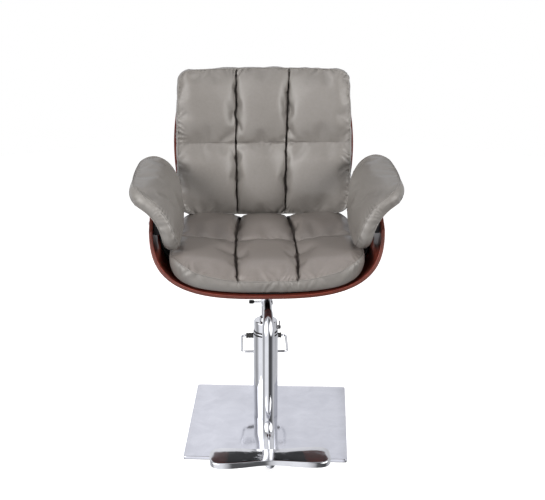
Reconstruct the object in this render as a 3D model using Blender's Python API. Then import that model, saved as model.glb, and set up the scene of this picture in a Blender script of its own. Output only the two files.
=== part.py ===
"""Styling chair: a moulded plywood seat with leather cushions on a hydraulic column.

Metres, +Z up. The front of the chair is -Y, its right side as one faces it is +X, and the
origin is on the column's axis at floor level.
"""

import math

import bmesh
import bpy
from mathutils import Matrix, Vector

GAP = 0.0003  # clearance kept between pieces that touch
TINY = 1e-9

# Base
BASE_HALF = 0.2345
BASE_CENTRE = (0.007, -0.0385)  # the column stands behind the middle of the plate
BASE_TURN = math.radians(-4.0)
BASE_CORNER = 0.006
MAT_TOP = 0.002
PLATE_TOP = 0.0083
SKIN = 0.002
COVER_TOP = PLATE_TOP + GAP + SKIN

# Pump: radii about the column's axis, and heights
CYLINDER_R = 0.024
BORE_R = 0.018
BORE_FLOOR = 0.030
CYLINDER_TOP = 0.2702
FLANGE_R = 0.0335
FLANGE_TOP = 0.018
PLATE_BOLT_RING = 0.029
SHROUD_R = 0.0365
SHROUD_WALL = 0.0025
SHROUD_TOP = 0.2785
RING_BORE = 0.0325
HEAD_R = 0.0345
HEAD_BOTTOM = 0.2918
HEAD_TOP = 0.323
GLAND_TOP = 0.333
ROD_R = 0.0125
ROD_SHOULDER = 0.400
JOURNAL_R = 0.010
JOURNAL_TOP = 0.4495

# Pedal: a pivot behind the column, and a loop of round bar that the foot presses
PIVOT_Y = 0.060
PIVOT_Z = 0.088
NOSE_ARM = 0.018
NOSE_R = 0.005
PIN_R = 0.004
LEVER_HALF = 0.0055
LOOP_Z = 0.174
LOOP_FRONT = 0.100
LOOP_REAR = 0.222
LOOP_HALF = 0.070
LOOP_ROD_R = 0.0035
LOOP_CORNER = 0.012
SLEEVE_R = 0.0085
SLEEVE_HALF = 0.0555

# Lock lever on the side of the pump head
LOCK_Z = 0.2985
LOCK_X = 0.0348

# Seat frame
SEAT_PLATE = (0.120, 0.140)
SEAT_PLATE_Z = (0.4550, 0.4600)
HUB_R = 0.031
RAIL_X = 0.060
RAIL_HALF = (0.015, 0.115)
SEAT_BOLT_Y = 0.090

# Seat shell: half a superellipse in section, tip to tip
SHELL_HALF = 0.323
SHELL_RISE = 0.205
SHELL_POWER = 3.25
SHELL_Z = 0.4855
PLY = 0.010
LINER = 0.003
LINER_RISE = 0.128
LINER_INSET = 0.014
LINER_SWEEP = 0.100  # how much further back its front edge runs than the shell's, towards the tips
LINER_GAP = 0.0018  # between curved sheets whose facets don't match
BED_GAP = 0.0026  # under a cushion, whose facets are coarser still
SHELL_FRONT = 0.250
SHELL_REAR = 0.200
TIP_SWEEP = 0.105
FLAT_HALF = 0.120
FRONT_LIFT = 0.0100
REAR_LIFT = 0.015

# Seat cushion
CUSHION_HALF = 0.285
CUSHION_TAPER = 0.16
CUSHION_FRONT = 0.246
CUSHION_REAR = 0.186
BOXING = 0.033
REAR_BOXING = 0.076
SEAT_CROWN = 0.043
CUSHION_CORNER = 0.28

# Back
BACK_FOOT = Vector((0.0, 0.215, 0.600))
BACK_LEAN = math.radians(12.0)
BACK_UP = Vector((0.0, math.sin(BACK_LEAN), math.cos(BACK_LEAN)))
BACK_OUT = Vector((0.0, -math.cos(BACK_LEAN), math.sin(BACK_LEAN)))
BACK_HALF = 0.268
BACK_HEIGHT = 0.395
BACK_WRAP = 0.050
BACK_CUSHION_HALF = 0.255
BACK_CUSHION_H = (-0.010, 0.424)
BACK_BOXING = 0.052
BACK_CROWN = 0.033
BACK_CORNER = 0.14

# Spine that joins the back to the seat
SPINE_HALF = 0.038
SPINE_T = 0.006
SPINE_BOLTS_SEAT = (0.055, 0.100)
SPINE_BOLTS_BACK = (0.080, 0.180)

# Arms: section curves from the bottom edge to the outer lip, (x, z), at the front and the rear
ARM_FRONT = ((0.262, 0.610), (0.276, 0.700), (0.300, 0.742), (0.383, 0.766))
ARM_REAR = ((0.255, 0.615), (0.246, 0.740), (0.282, 0.806), (0.358, 0.782))
ARM_Y_BOTTOM = (-0.215, -0.010)
ARM_Y_LIP = (-0.185, 0.100)
ARM_ROUNDNESS = 0.36
ARM_CORNER = 0.34
ARM_EDGE_T = 0.0165
ARM_MID_T = 0.0235
ARM_BLOCK_Y = (-0.110, 0.010)
ARM_BLOCK_Z = (0.628, 0.686)
ARM_BOLT_Y = (-0.085, -0.015)
ARM_BOLT_Z = 0.657

# Footrest
TUBE_Z = 0.4362
TUBE_SLIM_R = 0.013
TUBE_R = 0.017
TUBE_END_R = 0.0135
TUBE_WALL = 0.002
TUBE_BACK = -0.045
TUBE_DROP = -0.271
TUBE_LOW_Z = 0.0860
TUBE_TIP = -0.4415
TUBE_BEND = 0.050
SOCKET_Y = (-0.145, -0.040)
SOCKET_R = 0.0165
CLAMP_Y = -0.135
FOOT_HALF = 0.165
FOOT_Y = -0.422
FOOT_LOBE = 0.042
FOOT_WAIST = 0.032
FOOT_BLUNT = 0.70  # power that squares the ends: 1 would be round
FOOT_Z = (0.0847, 0.1045)


# ---------------------------------------------------------------- helpers


def clear_scene():
    for obj in list(bpy.data.objects):
        bpy.data.objects.remove(obj, do_unlink=True)


def make_material(name, colour, roughness, metallic):
    material = bpy.data.materials.new(name)
    material.use_nodes = True
    shader = material.node_tree.nodes["Principled BSDF"]
    shader.inputs["Base Color"].default_value = (*colour, 1.0)
    shader.inputs["Roughness"].default_value = roughness
    shader.inputs["Metallic"].default_value = metallic
    return material


def mesh_object(name, bm, material, sharp=35.0):
    """A named object from a bmesh, its faces pointing out, shaded smooth below `sharp` degrees."""
    bmesh.ops.recalc_face_normals(bm, faces=bm.faces)
    mesh = bpy.data.meshes.new(name)
    bm.to_mesh(mesh)
    bm.free()
    mesh.materials.append(material)
    mesh.shade_smooth()
    mesh.set_sharp_from_angle(angle=math.radians(sharp))
    obj = bpy.data.objects.new(name, mesh)
    bpy.context.scene.collection.objects.link(obj)
    return obj


def join_rings(bm, rings, closed):
    """Faces between neighbouring rings of vertices; a ring that repeats one vertex is a point."""
    count = len(rings[0])
    pairs = list(zip(rings, rings[1:]))
    if closed:
        pairs.append((rings[-1], rings[0]))
    for lower, upper in pairs:
        for k in range(count):
            j = (k + 1) % count
            corners = list(dict.fromkeys((lower[k], lower[j], upper[j], upper[k])))
            if len(corners) > 2:
                bm.faces.new(corners)


def turned(name, profile, material, at=(0, 0, 0), along=(0, 0, 1), sides=32):
    """A profile of (radius, distance along the axis) points, turned about its axis.

    A profile that starts and ends at radius 0 is solid; any other is a closed ring.
    """
    bm = bmesh.new()
    rings = []
    for radius, height in profile:
        if radius < TINY:
            rings.append([bm.verts.new((0, 0, height))] * sides)
            continue
        angles = [2 * math.pi * k / sides for k in range(sides)]
        rings.append(
            [bm.verts.new((radius * math.cos(a), radius * math.sin(a), height)) for a in angles]
        )
    join_rings(bm, rings, closed=profile[0][0] > TINY)
    obj = mesh_object(name, bm, material)
    turn = Vector((0, 0, 1)).rotation_difference(Vector(along))
    obj.matrix_world = Matrix.Translation(at) @ turn.to_matrix().to_4x4()
    return obj


def ring(name, inner, outer, low, high, material, sides=32):
    """A plain washer or seal about the column's axis."""
    profile = ((inner, low), (outer, low), (outer, high), (inner, high))
    return turned(name, profile, material, sides=sides)


def bolt(name, at, along, shank, length, head, head_length, material):
    """A bolt whose head seats at `at` and whose shank runs `length` along `along`."""
    profile = (
        (0, -head_length),
        (head, -head_length),
        (head, 0),
        (shank, 0),
        (shank, length),
        (0, length),
    )
    return turned(name, profile, material, at=at, along=along, sides=12)


def prism(name, outline, low, high, axis, material, sharp=35.0):
    """An outline extruded from `low` to `high` along the axis "X", "Y" or "Z"."""
    place = {
        "X": lambda p, q, r: (r, p, q),
        "Y": lambda p, q, r: (p, r, q),
        "Z": lambda p, q, r: (p, q, r),
    }[axis]
    bm = bmesh.new()
    lower = [bm.verts.new(place(p, q, low)) for p, q in outline]
    upper = [bm.verts.new(place(p, q, high)) for p, q in outline]
    join_rings(bm, [lower, upper], closed=False)
    bm.faces.new(lower)
    bm.faces.new(upper)
    return mesh_object(name, bm, material, sharp)


def box(name, x, y, z, material):
    """A box between the given (low, high) pairs."""
    outline = ((x[0], y[0]), (x[1], y[0]), (x[1], y[1]), (x[0], y[1]))
    return prism(name, outline, z[0], z[1], "Z", material)


def cut(target, cutter):
    """Takes the cutter's shape out of the target."""
    cutter.hide_render = True
    cutter.display_type = "WIRE"
    modifier = target.modifiers.new("cut_" + cutter.name, "BOOLEAN")
    modifier.operation = "DIFFERENCE"
    modifier.solver = "EXACT"
    modifier.object = cutter


def drill(name, targets, start, end, radius, material, sides=12):
    """A round hole from `start` to `end` through each of the targets."""
    start = Vector(start)
    along = Vector(end) - start
    profile = ((0, 0), (radius, 0), (radius, along.length), (0, along.length))
    cutter = turned(name, profile, material, at=start, along=along.normalized(), sides=sides)
    for target in targets:
        cut(target, cutter)


def rounded_rectangle(half_x, half_y, radius, steps=4):
    """Corner arcs of a centred rectangle, counter-clockwise."""
    points = []
    for quarter, (sx, sy) in enumerate(((1, 1), (-1, 1), (-1, -1), (1, -1))):
        for k in range(steps + 1):
            angle = math.pi / 2 * (quarter + k / steps)
            x = sx * (half_x - radius) + radius * math.cos(angle)
            y = sy * (half_y - radius) + radius * math.sin(angle)
            points.append((x, y))
    return points


def arc(centre, radius, start, end, steps):
    """Points on a circle between two angles in degrees, both ends included."""
    angles = [math.radians(start + (end - start) * k / steps) for k in range(steps + 1)]
    return [(centre[0] + radius * math.cos(a), centre[1] + radius * math.sin(a)) for a in angles]


def rounded_path(points, radius, steps, closed=False):
    """A polyline whose inner corners are arcs of the given radius."""
    points = [Vector(p) for p in points]
    count = len(points)
    path = []
    for k, corner in enumerate(points):
        if not closed and k in (0, count - 1):
            path.append(corner)
            continue
        back = (points[k - 1] - corner).normalized()
        ahead = (points[(k + 1) % count] - corner).normalized()
        half = back.angle(ahead) / 2
        middle = (back + ahead).normalized()
        centre = corner + middle * (radius / math.sin(half))
        first = corner + back * (radius / math.tan(half)) - centre
        last = corner + ahead * (radius / math.tan(half)) - centre
        turn = first.angle(last)
        for j in range(steps + 1):
            share = j / steps
            spoke = first * math.sin((1 - share) * turn) + last * math.sin(share * turn)
            path.append(centre + spoke / math.sin(turn))
    return path


def path_rings(bm, path, radii, side, sides, closed=False):
    """Rings of vertices square to a flat path, whose plane `side` is square to."""
    rings = []
    count = len(path)
    for k, centre in enumerate(path):
        before = path[k - 1] if closed or k > 0 else centre
        after = path[(k + 1) % count] if closed or k < count - 1 else centre
        normal = (after - before).normalized().cross(side)
        angles = [2 * math.pi * j / sides for j in range(sides)]
        rings.append(
            [bm.verts.new(centre + radii[k] * (math.cos(a) * side + math.sin(a) * normal)) for a in angles]
        )
    return rings


def blend(a, b, share):
    return a + (b - a) * share


def rounded(u, v, amount, corner=0.0):
    """The square -1..1 with its sides bowed and its corners rounded off.

    `amount` 0 keeps it square and 1 makes it a disc; `corner` is the radius of its corners.
    """
    across, along = abs(u) - 1 + corner, abs(v) - 1 + corner
    if across > 0 and along > 0:
        p, q = across / corner, along / corner
        u = math.copysign(1 - corner + across * math.sqrt(1 - q * q / 2), u)
        v = math.copysign(1 - corner + along * math.sqrt(1 - p * p / 2), v)
    return (
        u * math.sqrt(1 - amount * v * v / 2),
        v * math.sqrt(1 - amount * u * u / 2),
    )


def slab(name, lower, upper, columns, rows, roundness, material, corner=0.0):
    """A closed solid between two surfaces, each a function of (u, v) in -1..1."""
    bm = bmesh.new()

    def grid(surface):
        return [
            [
                bm.verts.new(
                    surface(*rounded(2 * i / columns - 1, 2 * j / rows - 1, roundness, corner))
                )
                for j in range(rows + 1)
            ]
            for i in range(columns + 1)
        ]

    below, above = grid(lower), grid(upper)
    for i in range(columns):
        for j in range(rows):
            for layer in (below, above):
                bm.faces.new((layer[i][j], layer[i + 1][j], layer[i + 1][j + 1], layer[i][j + 1]))
    rim = [(i, 0) for i in range(columns)]
    rim += [(columns, j) for j in range(rows)]
    rim += [(i, rows) for i in range(columns, 0, -1)]
    rim += [(0, j) for j in range(rows, 0, -1)]
    for (i, j), (k, m) in zip(rim, rim[1:] + rim[:1]):
        bm.faces.new((below[i][j], below[k][m], above[k][m], above[i][j]))
    return mesh_object(name, bm, material, sharp=50.0)


def put_on_axis(name, at, pieces):
    """Parents the pieces of a moving body to an empty on its joint's axis."""
    empty = bpy.data.objects.new(name, None)
    empty.location = at
    bpy.context.scene.collection.objects.link(empty)
    bpy.context.view_layer.update()
    for piece in pieces:
        world = piece.matrix_world.copy()
        piece.parent = empty
        piece.matrix_parent_inverse = empty.matrix_world.inverted()
        piece.matrix_world = world


# ---------------------------------------------------------------- surfaces


def superellipse_table(samples=240):
    """(length from the middle, x, z) along one half of the seat shell's section."""
    power = 2 / SHELL_POWER
    table = [(0.0, 0.0, 0.0)]
    for k in range(1, samples + 1):
        angle = math.pi / 2 * k / samples
        x = SHELL_HALF * math.sin(angle) ** power
        z = SHELL_RISE * (1 - max(math.cos(angle), 0.0) ** power)
        step = math.hypot(x - table[-1][1], z - table[-1][2])
        table.append((table[-1][0] + step, x, z))
    return table


SECTION = superellipse_table()
SECTION_LENGTH = SECTION[-1][0]


def section_point(length):
    """Point of the shell's section at a signed length from its middle."""
    wanted = min(abs(length), SECTION_LENGTH)
    for (l0, x0, z0), (l1, x1, z1) in zip(SECTION, SECTION[1:]):
        if wanted <= l1 + TINY:
            share = (wanted - l0) / (l1 - l0)
            return math.copysign(blend(x0, x1, share), length), blend(z0, z1, share)
    return math.copysign(SHELL_HALF, length), SHELL_RISE


def shell_lift(y):
    """How far the shell's front and rear lips rise above its flat middle."""
    if y < -FLAT_HALF:
        return FRONT_LIFT * ((-y - FLAT_HALF) / (SHELL_FRONT - FLAT_HALF)) ** 2
    if y > FLAT_HALF:
        return REAR_LIFT * ((y - FLAT_HALF) / (SHELL_REAR - FLAT_HALF)) ** 2
    return 0.0


def shell_point(length, y, offset):
    """A point `offset` above the shell's middle surface, square to its section."""
    reach = 0.01
    near = section_point(max(length - reach, -SECTION_LENGTH))
    far = section_point(min(length + reach, SECTION_LENGTH))
    run = math.hypot(far[0] - near[0], far[1] - near[1])
    x, z = section_point(length)
    x -= offset * (far[1] - near[1]) / run
    z += offset * (far[0] - near[0]) / run
    return Vector((x, y, SHELL_Z + z + shell_lift(y)))


def shell_surface(offset, reach=SECTION_LENGTH, inset=0.0, extra_sweep=0.0):
    """The seat shell's surface as a function of (u, v), out to `reach` along its section.

    The front edge is swept back towards the tips.
    """

    def surface(u, v):
        length = u * reach
        sweep = TIP_SWEEP * abs(length / SECTION_LENGTH) ** 2.5
        front = -SHELL_FRONT + sweep + inset + extra_sweep * (length / SECTION_LENGTH) ** 2
        rear = SHELL_REAR - 0.8 * sweep - inset
        y = blend(front, rear, (v + 1) / 2)
        return shell_point(length, y, offset)

    return surface


def cushion_surface(top):
    """Underside or crowned top of the seat cushion."""
    bed = PLY / 2 + LINER_GAP + LINER + BED_GAP
    reach = next(length for length, x, _ in SECTION if x >= CUSHION_HALF)

    def surface(u, v):
        y = blend(-CUSHION_FRONT, CUSHION_REAR, (v + 1) / 2)
        taper = 1 - CUSHION_TAPER * ((v + 1) / 2) ** 2
        point = shell_point(u * taper * reach, y, bed)
        if top:
            wall = blend(BOXING, REAR_BOXING, ((v + 1) / 2) ** 2)
            point.z += wall + SEAT_CROWN * (1 - u**6) * (1 - v**6)
        return point

    return surface


def back_point(x, height, offset):
    """A point `offset` in front of the back shell's middle surface."""
    wrap = BACK_WRAP * abs(x / BACK_HALF) ** 3
    return BACK_FOOT + Vector((x, 0, 0)) + BACK_UP * height + BACK_OUT * (wrap + offset)


def back_surface(offset):
    def surface(u, v):
        return back_point(u * BACK_HALF, BACK_HEIGHT * (v + 1) / 2, offset)

    return surface


def back_cushion_surface(front):
    bed = PLY / 2 + BED_GAP

    def surface(u, v):
        height = blend(*BACK_CUSHION_H, (v + 1) / 2)
        offset = bed
        if front:
            offset += BACK_BOXING + BACK_CROWN * (1 - u**4) * (1 - v**4)
        return back_point(u * BACK_CUSHION_HALF, height, offset)

    return surface


def bezier(controls, t):
    """A cubic curve through its first and last (x, z) control point."""
    weights = ((1 - t) ** 3, 3 * t * (1 - t) ** 2, 3 * t * t * (1 - t), t**3)
    return [sum(w * c[axis] for w, c in zip(weights, controls)) for axis in (0, 1)]


def arm_surface(hand, side):
    """One face of an arm pad: u runs front to rear, v from the bottom edge to the lip."""

    def surface(u, v):
        along, up = (u + 1) / 2, (v + 1) / 2
        controls = [
            (blend(f[0], r[0], along), blend(f[1], r[1], along))
            for f, r in zip(ARM_FRONT, ARM_REAR)
        ]
        x, z = bezier(controls, up)
        low = bezier(controls, max(up - 0.02, 0.0))
        high = bezier(controls, min(up + 0.02, 1.0))
        run = math.hypot(high[0] - low[0], high[1] - low[1])
        half = blend(ARM_EDGE_T, ARM_MID_T, (1 - u**4) * (1 - v**4))
        x += side * half * (high[1] - low[1]) / run
        z -= side * half * (high[0] - low[0]) / run
        front = blend(ARM_Y_BOTTOM[0], ARM_Y_LIP[0], up)
        rear = blend(ARM_Y_BOTTOM[1], ARM_Y_LIP[1], math.sin(up * math.pi / 2))
        return Vector((hand * x, blend(front, rear, along), z))

    return surface


# ---------------------------------------------------------------- sub-assemblies


def build_base(mats):
    half = BASE_HALF - SKIN - GAP
    room = BASE_HALF - SKIN
    mat = box("base_mat", (-room, room), (-room, room), (0, MAT_TOP), mats["rubber"])
    plate = box("base_plate", (-half, half), (-half, half), (MAT_TOP + GAP, PLATE_TOP), mats["black"])
    outline = rounded_rectangle(BASE_HALF, BASE_HALF, BASE_CORNER)
    cover = prism("base_cover", outline, MAT_TOP + GAP, COVER_TOP, "Z", mats["mirror_steel"])
    hollow = box("hollow", (-room, room), (-room, room), (-SKIN, COVER_TOP - SKIN), mats["black"])
    place = Matrix.Translation((*BASE_CENTRE, 0)) @ Matrix.Rotation(BASE_TURN, 4, "Z")
    for piece in (mat, plate, cover, hollow):
        piece.matrix_world = place
    cut(cover, hollow)
    drill("pump_opening", [cover], (0, 0, 0), (0, 0, 0.02), SHROUD_R - 0.0015, mats["black"], 32)
    return plate


def build_pump(mats, base_plate):
    foot = PLATE_TOP + GAP
    cylinder = turned(
        "pump_cylinder",
        (
            (0, foot),
            (FLANGE_R, foot),
            (FLANGE_R, FLANGE_TOP),
            (CYLINDER_R, FLANGE_TOP),
            (CYLINDER_R, CYLINDER_TOP),
            (BORE_R, CYLINDER_TOP),
            (BORE_R, BORE_FLOOR),
            (0, BORE_FLOOR),
        ),
        mats["steel"],
        sides=24,
    )
    for k in range(4):
        angle = math.pi / 4 + k * math.pi / 2
        x, y = PLATE_BOLT_RING * math.cos(angle), PLATE_BOLT_RING * math.sin(angle)
        name = "plate_bolt_%d" % (k + 1)
        top = FLANGE_TOP + GAP
        bolt(name, (x, y, top), (0, 0, -1), 0.003, top - MAT_TOP - 2 * GAP, 0.0045, 0.006, mats["steel"])
        drill("hole_" + name, [cylinder, base_plate], (x, y, 0), (x, y, 0.021), 0.0034, mats["black"])
    shroud = turned(
        "pump_shroud",
        (
            (SHROUD_R - SHROUD_WALL, COVER_TOP + GAP),
            (SHROUD_R, COVER_TOP + GAP),
            (SHROUD_R, SHROUD_TOP),
            (SHROUD_R - SHROUD_WALL, SHROUD_TOP),
        ),
        mats["chrome"],
        sides=40,
    )
    window = box("window", (-0.0137, 0.0137), (0.025, 0.050), (0.0585, 0.1165), mats["black"])
    cut(shroud, window)
    ring("shroud_seal", RING_BORE, 0.0370, SHROUD_TOP + GAP, 0.2828, mats["rubber"])
    ring("shroud_lip", RING_BORE, SHROUD_R, 0.2831, 0.2876, mats["chrome"])
    ring("head_seal", RING_BORE, 0.0357, 0.2879, HEAD_BOTTOM - GAP, mats["rubber"])
    rod_bore = ROD_R + GAP
    corner = arc((HEAD_R - 0.005, HEAD_TOP - 0.005), 0.005, 0, 90, 3)
    turned(
        "pump_head",
        (
            (rod_bore, CYLINDER_TOP + GAP),
            (RING_BORE - GAP, CYLINDER_TOP + GAP),
            (RING_BORE - GAP, HEAD_BOTTOM),
            (HEAD_R, HEAD_BOTTOM),
            *corner,
            (0.0190, HEAD_TOP),
            (0.0175, GLAND_TOP),
            (0.0155, GLAND_TOP),
            (0.0155, GLAND_TOP - 0.004),
            (rod_bore, GLAND_TOP - 0.004),
        ),
        mats["chrome"],
    )
    seat = GLAND_TOP - 0.004 + GAP
    turned(
        "rod_wiper",
        (
            (rod_bore, seat),
            (0.0152, seat),
            (0.0152, GLAND_TOP + 0.0005),
            (rod_bore + 0.0004, GLAND_TOP + 0.0025),
            (rod_bore, GLAND_TOP + 0.0025),
        ),
        mats["rubber"],
    )


def build_pump_block(mats):
    """Pressure block behind the cylinder: its fork holds the pedal and its bore the plunger."""
    nose_z = PIVOT_Z - NOSE_ARM
    block = box("pump_block", (-0.0125, 0.0125), (CYLINDER_R + GAP, 0.072), (0.060, 0.115), mats["steel"])
    fork = LEVER_HALF + GAP
    cut(block, box("fork_gap", (-fork, fork), (0.046, 0.080), (0.050, 0.125), mats["black"]))
    drill("plunger_bore", [block], (0, 0.030, nose_z), (0, 0.050, nose_z), 0.0053, mats["black"], 16)
    pin_ends = ((-0.020, PIVOT_Y, PIVOT_Z), (0.020, PIVOT_Y, PIVOT_Z))
    drill("pin_hole", [block], *pin_ends, PIN_R + GAP, mats["black"], 16)
    grip, tail = 0.0128, 0.0148
    turned(
        "pedal_pin",
        (
            (0, -tail),
            (0.006, -tail),
            (0.006, -grip),
            (PIN_R, -grip),
            (PIN_R, grip),
            (0.006, grip),
            (0.006, tail),
            (0, tail),
        ),
        mats["steel"],
        at=(0, PIVOT_Y, PIVOT_Z),
        along=(1, 0, 0),
        sides=16,
    )
    reach = PIVOT_Y - NOSE_R - GAP - 0.038
    plunger = turned(
        "pump_plunger",
        ((0, 0), (0.005, 0), (0.005, reach), (0, reach)),
        mats["steel"],
        at=(0, 0.038, nose_z),
        along=(0, 1, 0),
        sides=16,
    )
    put_on_axis("plunger_axis", (0, 0.038, nose_z), [plunger])


def build_pedal(mats):
    nose = arc((PIVOT_Y, PIVOT_Z - NOSE_ARM), NOSE_R, 0, -180, 8)
    neck = [(PIVOT_Y - NOSE_R, PIVOT_Z - 0.0105)]
    eye_front = arc((PIVOT_Y, PIVOT_Z), 0.0095, 180, 145, 3)
    head_z = LOOP_Z - LOOP_ROD_R - GAP
    head = [(LOOP_FRONT - 0.008, head_z), (LOOP_FRONT + 0.008, head_z)]
    eye_rear = arc((PIVOT_Y, PIVOT_Z), 0.0095, 10, -20, 3)
    outline = nose + neck + eye_front + head + eye_rear
    lever = prism("pedal_lever", outline, -LEVER_HALF, LEVER_HALF, "X", mats["chrome"])
    ends = ((-0.01, PIVOT_Y, PIVOT_Z), (0.01, PIVOT_Y, PIVOT_Z))
    drill("pivot_hole", [lever], *ends, PIN_R + GAP, mats["black"], 16)

    corners = (
        (-LOOP_HALF, LOOP_FRONT, LOOP_Z),
        (LOOP_HALF, LOOP_FRONT, LOOP_Z),
        (LOOP_HALF, LOOP_REAR, LOOP_Z),
        (-LOOP_HALF, LOOP_REAR, LOOP_Z),
    )
    path = rounded_path(corners, LOOP_CORNER, 6, closed=True)
    bm = bmesh.new()
    rings = path_rings(bm, path, [LOOP_ROD_R] * len(path), Vector((0, 0, 1)), 12, closed=True)
    join_rings(bm, rings, closed=True)
    loop = mesh_object("pedal_loop", bm, mats["chrome"])
    sleeve = turned(
        "pedal_sleeve",
        (
            (LOOP_ROD_R + GAP, -SLEEVE_HALF),
            (SLEEVE_R - 0.001, -SLEEVE_HALF),
            (SLEEVE_R, 0.001 - SLEEVE_HALF),
            (SLEEVE_R, SLEEVE_HALF - 0.001),
            (SLEEVE_R - 0.001, SLEEVE_HALF),
            (LOOP_ROD_R + GAP, SLEEVE_HALF),
        ),
        mats["rubber"],
        at=(0, LOOP_REAR, LOOP_Z),
        along=(1, 0, 0),
        sides=16,
    )
    put_on_axis("pedal_axis", (0, PIVOT_Y, PIVOT_Z), [lever, loop, sleeve])


def build_lock(mats):
    turned(
        "lock_stud",
        (
            (0, 0),
            (0.006, 0),
            (0.006, 0.0042),
            (0.0028, 0.0042),
            (0.0028, 0.0078),
            (0.005, 0.0078),
            (0.005, 0.0102),
            (0, 0.0102),
        ),
        mats["steel"],
        at=(LOCK_X, 0, LOCK_Z),
        along=(1, 0, 0),
        sides=16,
    )
    outline = arc((0, LOCK_Z), 0.0058, 160, 380, 9) + arc((0, LOCK_Z + 0.018), 0.0028, 20, 160, 4)
    low = LOCK_X + 0.0042 + GAP
    lever = prism("lock_lever", outline, low, low + 0.003, "X", mats["black"])
    ends = ((0.030, 0, LOCK_Z), (0.050, 0, LOCK_Z))
    drill("stud_hole", [lever], *ends, 0.0031, mats["black"], 16)
    put_on_axis("lock_axis", (LOCK_X, 0, LOCK_Z), [lever])


def build_ram(mats):
    stub, shoulder = 0.058, 0.0755
    rod = turned(
        "piston_rod",
        (
            (0, stub),
            (0.008, stub),
            (0.008, shoulder),
            (ROD_R, shoulder),
            (ROD_R, ROD_SHOULDER),
            (JOURNAL_R, ROD_SHOULDER),
            (JOURNAL_R, JOURNAL_TOP),
            (0, JOURNAL_TOP),
        ),
        mats["chrome"],
    )
    rim = BORE_R - GAP
    head = turned(
        "piston_head",
        (
            (0.0083, 0.056),
            (rim, 0.056),
            (rim, 0.062),
            (0.0152, 0.062),
            (0.0152, 0.068),
            (rim, 0.068),
            (rim, shoulder - GAP),
            (0.0083, shoulder - GAP),
        ),
        mats["steel"],
        sides=24,
    )
    seal = ring("piston_seal", 0.0155, rim, 0.0623, 0.0677, mats["rubber"], sides=24)
    put_on_axis("ram_axis", (0, 0, 0), [rod, head, seal])


def build_seat_frame(mats):
    washer = ring("thrust_washer", JOURNAL_R + GAP, 0.016, 0.4003, 0.4023, mats["steel"])
    hub_low, hub_high = 0.4026, SEAT_PLATE_Z[0] - GAP
    hub = turned(
        "swivel_hub",
        (
            (JOURNAL_R + GAP, hub_low),
            (0.021, hub_low),
            (0.024, 0.435),
            (HUB_R, 0.442),
            (HUB_R, hub_high),
            (JOURNAL_R + GAP, hub_high),
        ),
        mats["chrome"],
    )
    outline = rounded_rectangle(*SEAT_PLATE, 0.015, 3)
    plate = prism("seat_plate", outline, *SEAT_PLATE_Z, "Z", mats["black"])
    rail_top = SHELL_Z - PLY / 2 - GAP
    pieces = [washer, hub, plate]
    rails = []
    for name, hand in (("seat_rail_left", -1), ("seat_rail_right", 1)):
        x = sorted((hand * (RAIL_X - RAIL_HALF[0]), hand * (RAIL_X + RAIL_HALF[0])))
        y = (-RAIL_HALF[1], RAIL_HALF[1])
        rails.append(box(name, x, y, (SEAT_PLATE_Z[1] + GAP, rail_top), mats["black"]))
    socket = turned(
        "footrest_socket",
        (
            (TUBE_SLIM_R + GAP, SOCKET_Y[0]),
            (SOCKET_R, SOCKET_Y[0]),
            (SOCKET_R, SOCKET_Y[1]),
            (TUBE_SLIM_R + GAP, SOCKET_Y[1]),
        ),
        mats["chrome"],
        at=(0, 0, TUBE_Z),
        along=(0, 1, 0),
        sides=24,
    )
    ends = ((-0.030, CLAMP_Y, TUBE_Z), (-0.005, CLAMP_Y, TUBE_Z))
    drill("clamp_hole", [socket], *ends, 0.0034, mats["black"])
    return pieces + rails + [socket], plate, rails


def build_seat(mats, plate, rails):
    half = PLY / 2
    shell = slab("seat_shell", shell_surface(-half), shell_surface(half), 32, 10, 0.30, mats["wood"])
    low = half + LINER_GAP
    reach = next(length for length, _, z in SECTION if z >= LINER_RISE)
    liner = slab(
        "seat_liner",
        shell_surface(low, reach, LINER_INSET, LINER_SWEEP),
        shell_surface(low + LINER, reach, LINER_INSET, LINER_SWEEP),
        28,
        10,
        0.30,
        mats["black"],
    )
    cushion = slab(
        "seat_cushion",
        cushion_surface(False),
        cushion_surface(True),
        16,
        14,
        0.34,
        mats["leather"],
        CUSHION_CORNER,
    )
    pieces = [shell, liner, cushion]
    number = 0
    for x in (-RAIL_X, RAIL_X):
        for y in (-SEAT_BOLT_Y, SEAT_BOLT_Y):
            number += 1
            name = "seat_bolt_%d" % number
            head_z = SEAT_PLATE_Z[0] - GAP
            reach = SHELL_Z + half - 2 * GAP - head_z
            pieces.append(bolt(name, (x, y, head_z), (0, 0, 1), 0.003, reach, 0.0065, 0.004, mats["steel"]))
            rail = rails[0] if x < 0 else rails[1]
            ends = ((x, y, 0.440), (x, y, SHELL_Z + 0.007))
            drill("hole_" + name, [plate, rail, shell], *ends, 0.0034, mats["black"])
    return pieces, shell


def spine_outline():
    """Side view of the spine: a flat bar under the seat that turns up behind the back."""
    low = SHELL_Z - PLY / 2 - GAP - SPINE_T / 2
    behind = -(PLY / 2 + GAP + SPINE_T / 2)
    start = BACK_FOOT + BACK_UP * 0.010 + BACK_OUT * behind
    end = BACK_FOOT + BACK_UP * 0.250 + BACK_OUT * behind
    corners = ((0, 0.030, low), (0, 0.234, low), start, end)
    path = rounded_path(corners, 0.020, 5)
    sides = ([], [])
    for k, point in enumerate(path):
        ahead = path[min(k + 1, len(path) - 1)] - path[max(k - 1, 0)]
        normal = ahead.normalized().cross(Vector((1, 0, 0)))
        for side, sign in zip(sides, (1, -1)):
            edge = point + normal * (sign * SPINE_T / 2)
            side.append((edge.y, edge.z))
    return sides[0] + sides[1][::-1]


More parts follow.
